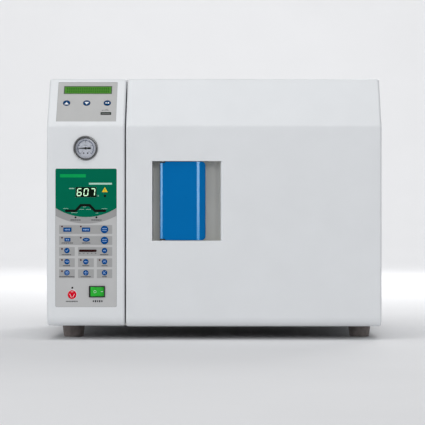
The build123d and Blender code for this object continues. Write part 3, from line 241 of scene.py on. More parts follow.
def turned_metal(name, base, node, roughness=0.25, metallic=1.0):
    """Metal with fine rings left by a lathe, centred on a node and turned about Y."""
    finish = Finish(name, base, roughness, metallic)
    centre = middle(node)
    from_centre = finish.vector("SUBTRACT", finish.place, (centre.x, 0, centre.z))
    radius = finish.nodes.new("ShaderNodeCombineXYZ")
    across = finish.vector("MULTIPLY", from_centre, (1, 0, 1))
    finish.links.new(finish.vector("LENGTH", across), radius.inputs["X"])
    texture = finish.nodes.new("ShaderNodeTexNoise")
    texture.inputs["Scale"].default_value = RINGS_PER_METRE
    texture.inputs["Detail"].default_value = 3
    finish.links.new(radius.outputs[0], texture.inputs["Vector"])
    rings = texture.outputs["Fac"]
    darker = tuple(channel * 0.85 for channel in base)
    finish.colour(finish.mix(finish.spread(rings, 0, 1), darker, base))
    finish.rough(rings, roughness - 0.06, roughness + 0.12)
    finish.bump(rings, 0.01, 0.4)
    return finish


def cast_rubber(name, base, roughness=0.7):
    """Rubber with a dull bloom and fine pitting."""
    finish = Finish(name, base, roughness)
    bloom = tuple(channel * 1.5 + 0.02 for channel in base)
    finish.colour(finish.mix(finish.spread(finish.noise(9, 4), 0, 0.8), base, bloom))
    finish.bump(finish.noise(0.8, 3), 0.04, 0.5)
    finish.rough(finish.noise(5, 2), roughness - 0.1, roughness + 0.1)
    return finish


def printed_film(name, base, roughness=0.42):
    """Printed polyester film: an even fine texture with slight gloss changes."""
    finish = Finish(name, base, roughness)
    mottled(finish, base, 35, 0.018)
    finish.bump(finish.noise(0.45, 2), 0.006, 0.4)
    finish.rough(finish.noise(14, 3), roughness - 0.05, roughness + 0.06)
    finish.set(Specular_IOR_Level=0.06)
    return finish


def glowing(name, base, strength, roughness=0.3):
    """A lit lens or segment, a little brighter in its middle tones."""
    finish = Finish(name, base, roughness)
    finish.set(Emission_Strength=strength)
    brighter = tuple(min(1, channel * 1.15 + 0.02) for channel in base)
    soft = finish.mix(finish.spread(finish.noise(2.0, 2), 0, 1), base, brighter)
    finish.colour(soft)
    finish.links.new(soft, finish.shader.inputs["Emission Color"])
    return finish


def speckled(name, first, second, size, roughness=0.6, relief=0.05):
    """Two colours in patches, such as a blanket, a circuit board or a tank wall."""
    finish = Finish(name, first, roughness)
    finish.colour(finish.mix(finish.spread(finish.noise(size, 5), 0, 1, 0.4, 0.6), first, second))
    finish.bump(finish.noise(size * 0.4, 3), relief, 0.5)
    return finish


def clear_glass(name, tint=(0.96, 0.98, 0.98), roughness=0.03):
    """Glass with faint smears in its polish."""
    finish = Finish(name, tint, roughness)
    finish.set(Transmission_Weight=1.0, IOR=1.45)
    finish.rough(finish.noise(12, 3), roughness, roughness + 0.05)
    return finish


def srgb(red, green, blue):
    """A linear colour from 0 to 255 display values."""
    def linear(value):
        value /= 255
        return value / 12.92 if value <= 0.04045 else ((value + 0.055) / 1.055) ** 2.4
    return (linear(red), linear(green), linear(blue))


WHITE = srgb(226, 228, 230)
STEEL = (0.62, 0.63, 0.64)
ROCKER_GREEN = srgb(44, 172, 52)
FINISHES = {
    "shell": moulded_plastic("shell_white", WHITE),
    "cover": painted_steel("cover_white", WHITE),
    "coat": painted_steel("coated_grey", srgb(176, 179, 181), 0.5),
    "steel_x": brushed_steel("steel_brushed_x", STEEL, "x"),
    "steel_y": brushed_steel("steel_brushed_y", STEEL, "y"),
    "steel_z": brushed_steel("steel_brushed_z", STEEL, "z"),
    "disc": turned_metal("steel_turned", (0.66, 0.67, 0.68), "door_gasket"),
    "handle": moulded_plastic("handle_blue", srgb(0, 108, 176), 0.3, 1.1, 0.004),
    # the handle's edge facets: real extra gloss, and a lighter blue base that is a painted highlight
    "handle_highlight": moulded_plastic("handle_painted_highlight", srgb(0, 138, 206), 0.12, 1.1, 0.002),
    "rubber": cast_rubber("foot_rubber", srgb(112, 104, 101)),
    "silicone": cast_rubber("gasket_silicone", srgb(196, 190, 178), 0.5),
    "black": moulded_plastic("black_plastic", srgb(24, 25, 26), 0.45),
    "tank": speckled("tank_natural", srgb(225, 228, 226), srgb(212, 217, 216), 30, 0.45, 0.02),
    "blanket": speckled("jacket_foil", srgb(196, 192, 180), srgb(170, 166, 154), 6, 0.55, 0.5),
    "circuit": speckled("circuit_green", srgb(16, 84, 52), srgb(22, 100, 62), 4, 0.35, 0.02),
    "brass": brushed_steel("brass_bar", (0.60, 0.43, 0.19), "y", 0.3),
    "zinc": brushed_steel("zinc_plate", (0.55, 0.56, 0.55), "x", 0.35),
    # the bezel's metal is far darker than real chrome: a painted dark reflection; its gloss and turning rings are
    # real
    "chrome": turned_metal("chrome_bezel", (0.22, 0.222, 0.225), "gauge_case", 0.1),
    "dial": turned_metal("dial_silver", srgb(206, 210, 220), "gauge_case", 0.55, 0.0),
    # near-black metal for the gauge's inner wall: painted shade in place of the bezel's dark inner reflections
    "shade": turned_metal("gauge_wall_painted_shade", (0.035, 0.035, 0.04), "gauge_case", 0.16),
    "digit_on": glowing("digit_lit", srgb(196, 238, 196), 0.45),
    "lcd": glowing("lcd_green", srgb(66, 130, 30), 0.04, 0.35),
    "tongue": moulded_plastic("socket_grey", srgb(96, 96, 94), 0.5),
    # the recess behind the handle: a little darker and warmer than the shell's white, painted shade in the recess
    "pocket": moulded_plastic("pocket_painted_shade", srgb(224, 224, 219)),
    "lcd_frame": moulded_plastic("lcd_frame", srgb(62, 84, 50), 0.4, 0.6, 0.006),
    "rocker": moulded_plastic("rocker_green", ROCKER_GREEN, 0.25, 0.7, 0.004),
    "rocker_frame": moulded_plastic("rocker_frame", srgb(8, 58, 26), 0.3, 0.6, 0.004),
    "glass": clear_glass("clear_glass"),
}
FILMS = {                       # printed inks and films: their display colours, by roughness
    0.42: {
        "ink": (40, 42, 46), "ink_white": (232, 236, 238), "ink_blue": (60, 78, 116),
        "ink_pale": (150, 176, 216), "ink_mint": (176, 214, 198), "ink_green": (0, 160, 84),
        # the darker edge colour in this table is painted shade along the panels' edges, not a print
        "film": (193, 193, 193), "film_head": (187, 187, 186), "painted_edge_shade": (150, 151, 152),
        "zone": (165, 165, 165), "band": (158, 158, 158), "head_green": (0, 106, 79),
        "amber": (250, 206, 44),
    },
    0.35: {
        "ink_black": (12, 14, 12), "key": (0, 74, 140), "key_dark": (0, 58, 104), "key_red": (218, 0, 36),
        "lcd_cell": (54, 116, 30),
    },
    0.3: {
        "led_off": (76, 16, 18), "bar_off": (44, 10, 12), "digit_off": (3, 24, 10), "readout": (2, 18, 6),
    },
}
for film_roughness, films in FILMS.items():
    for film_name, display_colour in films.items():
        FINISHES[film_name] = printed_film(f"print_{film_name}", srgb(*display_colour), film_roughness)
GLOSS = {                       # the few finishes whose clear reflections are not the usual ones
    "handle": 0.03, "handle_highlight": 0.7, "head_green": 0.02, "lcd": 0.06, "rocker": 0.12, "rocker_frame": 0.1,
}
for finish_name, specular_level in GLOSS.items():
    FINISHES[finish_name].set(Specular_IOR_Level=specular_level)
FINISHES["rocker"].set(Emission_Color=(*ROCKER_GREEN, 1), Emission_Strength=0.12)
FINISHES["glass"].set(Alpha=0.1)

NODE_FINISHES = {
    "shell": ("door_cover", "control_fascia"),
    "pocket": ("handle_pocket",),
    "cover": ("cabinet_cover",),
    "coat": ("rear_panel", "base_chassis", "door_liner"),
    "steel_x": ("lower_tray", "upper_tray", "latch_slider", "lock_bolt"),
    "steel_y": ("chamber_vessel", "tray_rack", "band_heaters"),
    "steel_z": ("front_frame", "hinge_brackets", "hinge_pins", "handle_shaft"),
    "disc": ("pressure_door",),
    "silicone": ("door_gasket",),
    "rubber": ("rubber_feet",),
    "black": ("lock_actuator", "reservoir_cap", "power_inlet", "fan_frame", "fan_rotor", "rocker_bezel",
              "gauge_needle"),
    "tank": ("water_reservoir",),
    "blanket": ("insulation_jacket",),
    "circuit": ("control_board", "lcd_module"),
    "brass": ("valve_block", "safety_valve", "drain_fittings"),
    "zinc": ("cabinet_screws",),
    "chrome": ("gauge_case",),
    "film": ("main_overlay",),
    "film_head": ("lcd_overlay",),
    "rocker": ("rocker_button",),
    "handle": ("handle_lever",),
    "glass": ("gauge_glass",),
}
for finish_name, nodes in NODE_FINISHES.items():
    for node in nodes:
        for material_slot in frame["nodes"][node].material_slots:
            material_slot.material = FINISHES[finish_name].material


# ---------------- mesh building
def add_piece(name, mesh, finish, body, sharp=35):
    """A mesh as a named piece that rides on a body."""
    mesh.shade_smooth()
    mesh.set_sharp_from_angle(angle=math.radians(sharp))
    mesh.materials.append(FINISHES[finish].material)
    item = bpy.data.objects.new(name, mesh)
    scene.collection.objects.link(item)
    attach(item, body)
    return item


def circle(x, y, radius, count=32):
    """Points round a circle, anticlockwise from its right side."""
    steps = [2 * math.pi * index / count for index in range(count)]
    return [(x + radius * math.cos(a), y + radius * math.sin(a)) for a in steps]


def rectangle(x, y, width, height, corner=0.0, steps=5):
    """A rectangle about its middle, with rounded corners, anticlockwise."""
    if corner <= 0:
        corner, steps = 0.001, 1
    points = []
    for index, (side_x, side_y) in enumerate(((1, 1), (-1, 1), (-1, -1), (1, -1))):
        centre_x = x + side_x * (width / 2 - corner)
        centre_y = y + side_y * (height / 2 - corner)
        for step in range(steps + 1):
            angle = math.pi / 2 * (index + step / steps)
            points.append((centre_x + corner * math.cos(angle), centre_y + corner * math.sin(angle)))
    return points


def stroke(points, width, round_ends=False):
    """The outline of a line of a width through points, with mitred joints."""
    sides = ([], [])
    last = len(points) - 1
    for index, point in enumerate(points):
        here = Vector(point)
        before = (here - Vector(points[index - 1])).normalized() if index else None
        after = (Vector(points[index + 1]) - here).normalized() if index < last else None
        along = ((before or after) + (after or before)).normalized()
        across = Vector((-along.y, along.x))
        half = width / 2 / max(0.5, along.dot(before or after))
        sides[0].append(tuple(here + across * half))
        sides[1].append(tuple(here - across * half))
    if not round_ends:
        return sides[0] + sides[1][::-1]
    caps = []
    for end, toward in ((last, last - 1), (0, 1)):
        out = (Vector(points[end]) - Vector(points[toward])).normalized()
        start = math.atan2(out.x, -out.y)
        angles = [start - math.pi * step / 8 for step in range(1, 8)]
        caps.append([(points[end][0] + width / 2 * math.cos(a), points[end][1] + width / 2 * math.sin(a))
                     for a in angles])
    return sides[0] + caps[0] + sides[1][::-1] + caps[1]


def grid(columns, rows, pitch_x, pitch_y):
    """Points in rows and columns about the origin."""
    return [((column - (columns - 1) / 2) * pitch_x, (row - (rows - 1) / 2) * pitch_y)
            for row in range(rows) for column in range(columns)]


def tidy_mesh(mesh):
    """Joins points that coincide and turns every face outward."""
    work = bmesh.new()
    work.from_mesh(mesh)
    bmesh.ops.remove_doubles(work, verts=work.verts, dist=1e-7)
    bmesh.ops.recalc_face_normals(work, faces=work.faces)
    if work.calc_volume(signed=True) < 0:
        bmesh.ops.reverse_faces(work, faces=work.faces)
    work.to_mesh(mesh)
    work.free()


def mesh_of(curve):
    """A filled curve or letter as a mesh."""
    item = bpy.data.objects.new(curve.name, curve)
    scene.collection.objects.link(item)
    bpy.context.view_layer.update()
    mesh = bpy.data.meshes.new_from_object(item.evaluated_get(bpy.context.evaluated_depsgraph_get()))
    bpy.data.objects.remove(item)
    mesh.materials.clear()
    return mesh


def flat_mesh(name, loops, height, thickness):
    """Closed outlines in millimetres, filled and raised; an outline inside another is a hole."""
    curve = bpy.data.curves.new(name, "CURVE")
    curve.dimensions = "2D"
    curve.fill_mode = "BOTH"
    curve.extrude = thickness / 2 * MM
    for loop in loops:
        spline = curve.splines.new("POLY")
        spline.points.add(len(loop) - 1)
        for point, (x, y) in zip(spline.points, loop):
            point.co = (x * MM, y * MM, 0, 1)
        spline.use_cyclic_u = True
    mesh = mesh_of(curve)
    mesh.transform(Matrix.Translation((0, 0, (height + thickness / 2) * MM)))
    tidy_mesh(mesh)
    return mesh


def printed(name, place, loops, finish, height=0.0, thickness=0.08, body="root"):
    """Flat shapes laid on a panel, at a height above its face."""
    mesh = flat_mesh(name, loops, height, thickness)
    mesh.transform(place)
    return add_piece(name, mesh, finish, body)


def ring_mesh(name, rings, closed_start=True, closed_end=True):
    """Faces between loops of equal length; the first and the last are filled."""
    mesh = bpy.data.meshes.new(name)
    work = bmesh.new()
    loops = [[work.verts.new(Vector(point) * MM) for point in ring] for ring in rings]
    count = len(loops[0])
    for first, second in zip(loops, loops[1:]):
        for index in range(count):
            following = (index + 1) % count
            work.faces.new((first[index], first[following], second[following], second[index]))
    if closed_start:
        work.faces.new(loops[0][::-1])
    if closed_end:
        work.faces.new(loops[-1])
    work.to_mesh(mesh)
    work.free()
    tidy_mesh(mesh)
    return mesh


def at_level(outline, level):
    """A flat outline as points at a height."""
    return [(x, y, level) for x, y in outline]


def lathe(name, profile, place, finish, body, count=64, closed=False):
    """A turned shape from (radius, height) points, about the z axis of its place."""
    rings = [at_level(circle(0, 0, max(radius, 0.01), count), height) for radius, height in profile]
    if closed:
        rings.append(rings[0])
    mesh = ring_mesh(name, rings, not closed, not closed)
    mesh.transform(place)
    return add_piece(name, mesh, finish, body)


def outline_prism(name, outline, low, high, edge, place, finish, body, steps=3):
    """An outline raised between two heights, its edges rounded at both ends by shrinking it."""
    centre_x = sum(x for x, _ in outline) / len(outline)
    centre_y = sum(y for _, y in outline) / len(outline)
    reach = max(math.hypot(x - centre_x, y - centre_y) for x, y in outline)
    edge = min(edge, (high - low) * 0.45)
    levels = []
    for step in range(steps + 1):
        angle = math.pi / 2 * step / steps
        levels.append((low + edge * (1 - math.sin(angle)), edge * (1 - math.cos(angle))))
    levels = levels[::-1] + [(high - (height - low), inset) for height, inset in levels]
    rings = []
    for height, inset in levels:
        scale = 1 - inset / reach
        smaller = [(centre_x + (x - centre_x) * scale, centre_y + (y - centre_y) * scale) for x, y in outline]
        rings.append(at_level(smaller, height))
    mesh = ring_mesh(name, rings)
    mesh.transform(place)
    return add_piece(name, mesh, finish, body)


def greek(x, y, width, height):
    """A line of small blocks in place of lettering, centred on a point."""
    pitch = height * 0.95
    count = max(2, round(width / pitch))
    pitch = width / count
    return [rectangle(x + (index - (count - 1) / 2) * pitch, y, pitch * 0.66, height * (0.78, 1.0)[index % 2])
            for index in range(count)]


# ---------------- main panel
FACE = 0.0                      # the printed layers' heights above the panel's face
LAYER = 0.16
HEAD_THICK = 0.15
HEAD_SIDE_Y = 198.2             # where the green head's curved lower edge meets the panel's sides
HEAD_MIDDLE_Y = 179.8
BAND_SIDE_Y = 182.6
BAND_MIDDLE_Y = 166.8
BAND_OVERLAP = 0.3              # the band starts this far below the head's edge
ZONE_HEIGHT = 17.7
ZONE_TOPS = (163.8, 141.8, 119.8, 97.4, 75.4)
ZONE_SPANS = (
    ((7.4, 113.6),),
    ((7.4, 113.6),),
    ((7.4, 38.8), (45.2, 113.6)),
    ((7.4, 38.8), (45.2, 77.0), (82.8, 113.6)),
    ((7.4, 38.8), (45.2, 77.0), (82.8, 113.6)),
)
KEY_CLEAR = 0.6                 # printed layers stop this far from a key


def on_panel(point):
    """A point of the model, in millimetres across and up the main panel."""
    local = PANEL.inverted() @ point
    return local.x / MM, local.y / MM


def key_box(node):
    """A main panel key's middle and size in the panel's millimetres."""
    width, _, height = size_mm(node)
    return *on_panel(middle(node)), width, height


def key_shape(x, y, width, height, grow=0.0):
    """The outline of a key: round, oval or a rounded rectangle."""
    if abs(width - height) < 0.1:
        return circle(x, y, width / 2 + grow, 48)
    if abs(width / height - 14.0 / 7.4) < 0.05:
        return [(x + (px - x) * (width / 2 + grow), y + (py - y) * (height / 2 + grow))
                for px, py in circle(x, y, 1, 48)]
    return rectangle(x, y, width + 2 * grow, height + 2 * grow, 1.2 + grow)


HEAD_KEYS = ("key_up", "key_down", "key_set")
PANEL_KEY_BOXES = {
    node: key_box(node) for node in frame["nodes"] if node.startswith("key_") and node not in HEAD_KEYS
}
READOUT_X, READOUT_Y = 61.2, 229.7
READOUT_WIDTH, READOUT_HEIGHT = 41.2, 19.4
PRINT_INSET = 0.05              # the print stops this far inside the panel's sides
PANEL_CORNER = 3.0


def arc_edge(side_y, middle_y, count=28):
    """Points along a shallow arc from the left side of the panel to the right."""
    half = PANEL_WIDTH / 2
    sagitta = side_y - middle_y
    radius = (half * half + sagitta * sagitta) / (2 * sagitta)
    points = []
    for index in range(count + 1):
        x = PANEL_WIDTH * index / count
        points.append((x, middle_y + radius - math.sqrt(radius * radius - (x - half) ** 2)))
    return points


def within_sides(points):
    """Points drawn in to the panel's printed width."""
    return [(min(max(x, PRINT_INSET), PANEL_WIDTH - PRINT_INSET), y) for x, y in points]


def make_panel_print():
    """The green head, the grey band under it, and the darker zones behind the keys."""
    readout_hole = rectangle(READOUT_X, READOUT_Y, READOUT_WIDTH + 0.8, READOUT_HEIGHT + 0.8, 0.6)
    inset = PANEL_CORNER + PRINT_INSET
    corner = circle(PANEL_WIDTH - inset, PANEL_HEIGHT - inset, PANEL_CORNER, 24)[:7]
    top = corner + [(PANEL_WIDTH - x, y) for x, y in reversed(corner)]
    lower = within_sides(arc_edge(HEAD_SIDE_Y, HEAD_MIDDLE_Y))
    printed("panel_head_print", PANEL, [lower + top, readout_hole], "head_green", FACE, HEAD_THICK)
    band_top = arc_edge(HEAD_SIDE_Y - BAND_OVERLAP, HEAD_MIDDLE_Y - BAND_OVERLAP)
    band = within_sides(arc_edge(BAND_SIDE_Y, BAND_MIDDLE_Y) + band_top[::-1])
    printed("panel_band_print", PANEL, [band], "band", FACE)
    loops = []
    for top_y, spans in zip(ZONE_TOPS, ZONE_SPANS):
        for left, right in spans:
            zone_y = top_y - ZONE_HEIGHT / 2
            loops.append(rectangle((left + right) / 2, zone_y, right - left, ZONE_HEIGHT, 0.8))
    for node, key in PANEL_KEY_BOXES.items():
        if node != "key_emergency":
            loops.append(key_shape(*key, KEY_CLEAR))
    printed("panel_zone_print", PANEL, loops, "zone", FACE)


def make_panel_edge():
    """A thin darker line that runs round the main panel: painted shade along its edge."""
    x, y = PANEL_WIDTH / 2, PANEL_HEIGHT / 2
    outer = rectangle(x, y, PANEL_WIDTH - 0.1, PANEL_HEIGHT - 0.1, PANEL_CORNER)
    inner = rectangle(x, y, PANEL_WIDTH - 1.1, PANEL_HEIGHT - 1.1, PANEL_CORNER - 0.4)
    printed("panel_edge_shade", PANEL, [outer, inner], "painted_edge_shade", FACE, 0.12)


def make_process_curve():
    """The black line of a cycle: a low stretch, a rise, a plateau, a fall and a low stretch."""
    points = [(21.4, 192.4), (40.6, 192.4), (50.8, 203.6), (68.4, 203.6), (79.0, 192.4), (99.0, 192.4)]
    printed("process_curve", PANEL, [stroke(points, 5.0, True)], "ink_black", LAYER)
    marks = []
    for x, y, width in ((20.6, 197.0, 10), (37.8, 188.6, 13), (52.2, 195.2, 10), (66.2, 195.2, 10),
                        (58.0, 200.2, 6), (98.0, 196.6, 11), (83.0, 187.8, 5)):
        marks += greek(x, y, width, 1.1)
    printed("process_labels", PANEL, marks, "ink_mint", LAYER)


READOUT_NUMERALS = "607"
SEGMENTS = {"0": "abcdef", "6": "acdefg", "7": "abc"}     # the lit bars of each numeral
DIGIT_WIDTH = 9.6
DIGIT_HEIGHT = 15.6
DIGIT_PITCH = 13.4
DIGIT_SLANT = 0.12
SEGMENT_THICK = 1.8
SEGMENT_GAP = 0.25
BAR_LEVEL = -0.24               # the bars' height, behind the panel's face


def segment_loops():
    """The seven bars of one digit, by letter, from its lower left corner: top, round, and middle."""
    half = SEGMENT_THICK / 2
    middle_y, top_y = DIGIT_HEIGHT / 2, DIGIT_HEIGHT - half
    left, right = half, DIGIT_WIDTH - half

    def level(y):
        start, end = left + SEGMENT_GAP, right - SEGMENT_GAP
        return [(start, y), (start + half, y - half), (end - half, y - half), (end, y),
                (end - half, y + half), (start + half, y + half)]

    def upright(x, low, high):
        start, end = low + SEGMENT_GAP, high - SEGMENT_GAP
        return [(x, start), (x + half, start + half), (x + half, end - half), (x, end),
                (x - half, end - half), (x - half, start + half)]

    return {
        "a": level(top_y), "g": level(middle_y), "d": level(half),
        "f": upright(left, middle_y, top_y), "b": upright(right, middle_y, top_y),
        "e": upright(left, half, middle_y), "c": upright(right, half, middle_y),
    }


def make_readout():
    """A three-digit readout behind a dark window."""
    window = rectangle(READOUT_X, READOUT_Y, READOUT_WIDTH - 0.1, READOUT_HEIGHT - 0.1, 0.5)
    printed("readout_window", PANEL, [window], "readout", -0.55, 0.3)
    lit, unlit = [], []
    start_x = READOUT_X - (2 * DIGIT_PITCH + DIGIT_WIDTH) / 2
    start_y = READOUT_Y - DIGIT_HEIGHT / 2
    for place, numeral in enumerate(READOUT_NUMERALS):
        for letter, bar in segment_loops().items():
            loop = [(start_x + place * DIGIT_PITCH + x + DIGIT_SLANT * (y - DIGIT_HEIGHT / 2), start_y + y)
                    for x, y in bar]
            (lit if letter in SEGMENTS[numeral] else unlit).append(loop)
    printed("readout_lit_bars", PANEL, lit, "digit_on", BAR_LEVEL, 0.1)
    printed("readout_unlit_bars", PANEL, unlit, "digit_off", BAR_LEVEL, 0.05)


LAMP_SPOTS = ((13.2, 161), (50.8, 161), (13.2, 138.6), (50.8, 138.6), (13.2, 116.2),
              (13.2, 94), (50.8, 94), (88.4, 94), (13.2, 71.6))
DARK_LAMPS = {                  # the middle and the radius of each round lamp that is off
    "door": (40.2, 179.2, 1.9), "water": (82.0, 179.2, 1.9), "alarm": (99.0, 222.2, 2.5),
    "stop": (33.8, 38.4, 1.9),
}
ALARM_X, ALARM_Y, ALARM_SIDE = 98.8, 234.8, 11.4
STOP_X, STOP_Y = 33.8, 25.2
BAR_DISPLAY = (64.7, 112.5, 35.4, 4.8)
LABELS = {                      # rows of blocks in place of words, by height: middle and width
    174.0: ((40.4, 21), (82.0, 21)),
    128.0: ((23.4, 23), (61.6, 17)),
    104.6: ((22.0, 19), (97.5, 17)),
    82.6: ((22.0, 15), (60.8, 14), (98.2, 12)),
    60.6: ((22.6, 31), (60.8, 21), (98.2, 10)),
}
LABEL_TALL = 2.1


def make_lamps():
    """Small lenses beside the keys and under the head, and the bar display."""
    def lens(name, outline, bottom, edge, finish):
        outline_prism(name, outline, bottom, 0.5, edge, PANEL, finish, "root")

    for index, (x, y) in enumerate(LAMP_SPOTS):
        lens(f"lamp_{index + 1:02d}", rectangle(x, y, 3.0, 3.0, 0.8), LAYER, 0.3, "led_off")
    for name, (x, y, radius) in DARK_LAMPS.items():
        lens(f"lamp_{name}", circle(x, y, radius, 24), 0.1, 0.3, "ink_black")
    lens("bar_display", rectangle(*BAR_DISPLAY, 2.2), LAYER, 0.25, "bar_off")


def make_marks():
    """The amber mark, the ring round the emergency key, and plain blocks in place of the labels."""
    half, tall = ALARM_SIDE / 2, ALARM_SIDE * math.sqrt(3) / 2
    outer = [(ALARM_X - half, ALARM_Y - tall / 2), (ALARM_X + half, ALARM_Y - tall / 2),
             (ALARM_X, ALARM_Y + tall / 2)]
    bar = rectangle(ALARM_X, ALARM_Y - 0.2, 1.3, 3.4, 0.4)
    dot = rectangle(ALARM_X, ALARM_Y - 3.2, 1.3, 1.1, 0.4)
    printed("alarm_mark", PANEL, [outer, bar, dot], "amber", LAYER)
    dark = []
    for y, labels in LABELS.items():
        for x, width in labels:
            dark += greek(x, y, width, LABEL_TALL)
    for index in range(5):
        dark += greek(48.6 + index * 7.9, 107.4, 3.4, 1.4)
    printed("label_blocks", PANEL, dark, "ink", LAYER)
    low = greek(32.6, 11.2, 24, 2.6) + greek(84.4, 11.6, 21, 4.2)
    printed("label_blocks_low", PANEL, low, "ink", FACE)
    printed("head_plain_bar", PANEL, [rectangle(35.0, 262.4, 52, 6.6, 1.4)], "ink_green", LAYER)
    head = [rectangle(90.0, 246.6, 46, 3.6, 0.8)]
    head += greek(32.4, 237.0, 11, 2.4) + greek(85.6, 222.4, 2.6, 2.4)
    printed("head_label_blocks", PANEL, head, "ink_mint", LAYER)
    ring = [circle(STOP_X, STOP_Y, radius, 48) for radius in (9.4, 8.2)]
    printed("stop_ring", PANEL, ring, "ink_white", FACE)


# ---------------- keys
def bars_icon(width, height=1.5):
    """Two lines of blocks in place of lettering."""
    return greek(0, height, width, height) + greek(0, -height, width * 0.92, height)


def flower_icon(count, radius):
    """Small dots round a middle one."""
    loops = [circle(0, 0, radius * 0.3, 16)]
    for x, y in circle(0, 0, radius * 0.72, count):
        loops.append(circle(x, y, radius * 0.2, 14))
    return loops


def triangle_icon(size, up):
    """A triangle on its base or on its tip."""
    tall = size * 0.72 * (1 if up else -1)
    drop = size * 0.1
    return [[(-size / 2, -tall / 2 - drop), (size / 2, -tall / 2 - drop), (0, tall / 2 - drop)]]


KEY_ICONS = {
    "key_start": bars_icon(9.6, 1.9),
    "key_stop": bars_icon(9.6, 1.9),
    "key_cycle_low": greek(0, 0, 10.5, 3.0),
    "key_cycle_high": greek(0, 0, 11.5, 3.0),
    "key_container": [rectangle(-1.8, 0, 2.2, 2.8, 0.3), rectangle(1.8, 0, 2.2, 2.8, 0.3)],
    "key_wrapped": [rectangle(0, 0.7, 7.2, 0.7, 0.3), rectangle(0, -1.0, 4.8, 0.7, 0.3)],
    "key_liquid": [stroke([(-2.6, 0.4), (-0.8, -1.6), (2.6, 2.0)], 0.9)],
    "key_dry_time": greek(0, 0, 5.4, 2.6),
    "key_bottle": [stroke([(-4.2, 0), (-2, 1), (2.4, 1), (4.2, 0), (2.4, -0.9), (-2, -0.9)], 0.9)],
    "key_flash": greek(0, 0, 7.0, 2.4),
    "key_preheat": [stroke([(-2.8, -2.2), (-1.4, 2.0), (0, -0.6), (1.4, 2.0), (2.8, -2.2)], 0.8)],
    "key_fill": flower_icon(6, 4.2),
    "key_exhaust": flower_icon(4, 4.2),
    "key_drain": [stroke([(-1.8, -2.8), (-1.8, 2.8)], 0.9),
                  stroke([(2.4, -2.8), (-0.6, 0), (2.4, 2.8)], 0.9)],
    "key_emergency": [rectangle(0, 5.6, 5.0, 0.9, 0.3), stroke([(-4.8, 1.6), (-1.3, -5.6)], 0.9),
                      stroke([(4.8, 1.6), (1.3, -5.6)], 0.9)],
    "key_up": triangle_icon(9.4, True),
    "key_down": triangle_icon(9.4, False),
    "key_set": greek(0, 0, 8.8, 4.0),
}
KEY_TOP = 0.6                   # a key's flat height above its panel
KEY_BOTTOM = -0.4


def make_keys():
    """Domed keys with printed marks, in place of the plain ones."""
    places = {node: (PANEL, key) for node, key in PANEL_KEY_BOXES.items()}
    for node in HEAD_KEYS:
        size = size_mm(node)[0]
        across = (HEAD.inverted() @ middle(node)).x / MM
        places[node] = (HEAD, (across, HEAD_KEY_Y, size, size))
    for node, (place, (x, y, width, height)) in places.items():
        body = BODY_OF[node]
        red = node == "key_emergency"
        finish = "key_red" if red else "key" if place is PANEL else "key_dark"
        cap = outline_prism(f"{node}_cap", key_shape(x, y, width, height), KEY_BOTTOM, KEY_TOP - 0.1, 0.35,
                            place, finish, body)
        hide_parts(node)
        icon = [[(x + px, y + py) for px, py in loop] for loop in KEY_ICONS[node]]
        ink = "ink_white" if red or place is HEAD else "ink_pale"
        printed(f"{node}_mark", place, icon, ink, KEY_TOP - 0.13, 0.08, body)


# ---------------- sloped panel
HEAD_KEY_Y = -3.35
LCD_MIDDLE = (0.55, 32.0)
LCD_SIZE = (96.6, 21.0)
LCD_COLUMNS, LCD_ROWS = 20, 2
USB_MIDDLE = (39.05, -31.45)
USB_SIZE = (21.5, 7.8)


def make_lcd():
    """The green character display: a frame, a backlit plate, and two rows of dark cells."""
    x, y = LCD_MIDDLE
    width, height = LCD_SIZE
    frame_loops = [rectangle(x, y, width, height, 0.5), rectangle(x, y, width - 3.2, height - 3.2, 0.4)]
    printed("lcd_frame", HEAD, frame_loops, "lcd_frame", -0.35, 0.3)
    printed("lcd_plate", HEAD, [rectangle(x, y, width - 3.0, height - 3.0, 0.3)], "lcd", -0.38, 0.1)
    pitch_x = (width - 9) / LCD_COLUMNS
    pitch_y = (height - 6) / LCD_ROWS
    cells = [rectangle(x + px, y + py, pitch_x - 0.9, pitch_y - 1.2)
             for px, py in grid(LCD_COLUMNS, LCD_ROWS, pitch_x, pitch_y)]
    printed("lcd_cells", HEAD, cells, "lcd_cell", -0.28, 0.04)


def make_usb_port():
    """The socket's shell and tongue, and a plain mark over it."""
    x, y = USB_MIDDLE
    width, height = USB_SIZE
    outer = rectangle(x, y, width - 0.8, height - 0.8, 0.6)
    inner = rectangle(x, y, width - 2.2, height - 2.2, 0.4)
    printed("usb_shell", HEAD, [outer, inner], "black", -5.0, 4.8)
    printed("usb_well", HEAD, [rectangle(x, y, width - 2.3, height - 2.3)], "ink_black", -5.4, 0.4)
    printed("usb_tongue", HEAD, [rectangle(x, y + 0.2, width - 4.4, 2.6, 0.3)], "tongue", -5.0, 4.4)
    marks = [rectangle(x - 1, y + 8.6, 13, 0.7, 0.2), rectangle(x + 1, y + 10.2, 5.2, 0.7, 0.2),
             circle(x - 7.4, y + 8.6, 1.0, 14)]
    printed("usb_mark", HEAD, marks, "ink", FACE)


def make_head_edge():
    """A thin darker line that runs round the sloped panel: painted shade along its edge."""
    wide, _, tall = size_mm("lcd_overlay")
    tall = (tall - OVERLAY_THICK / MM * -HEAD_INWARD.z) / HEAD_UP.z
    outer = rectangle(0, 0, wide - 0.1, tall - 0.1, 0.5)
    inner = rectangle(0, 0, wide - 1.0, tall - 1.0, 0.4)
    printed("head_edge_shade", HEAD, [outer, inner], "painted_edge_shade", FACE, 0.12)


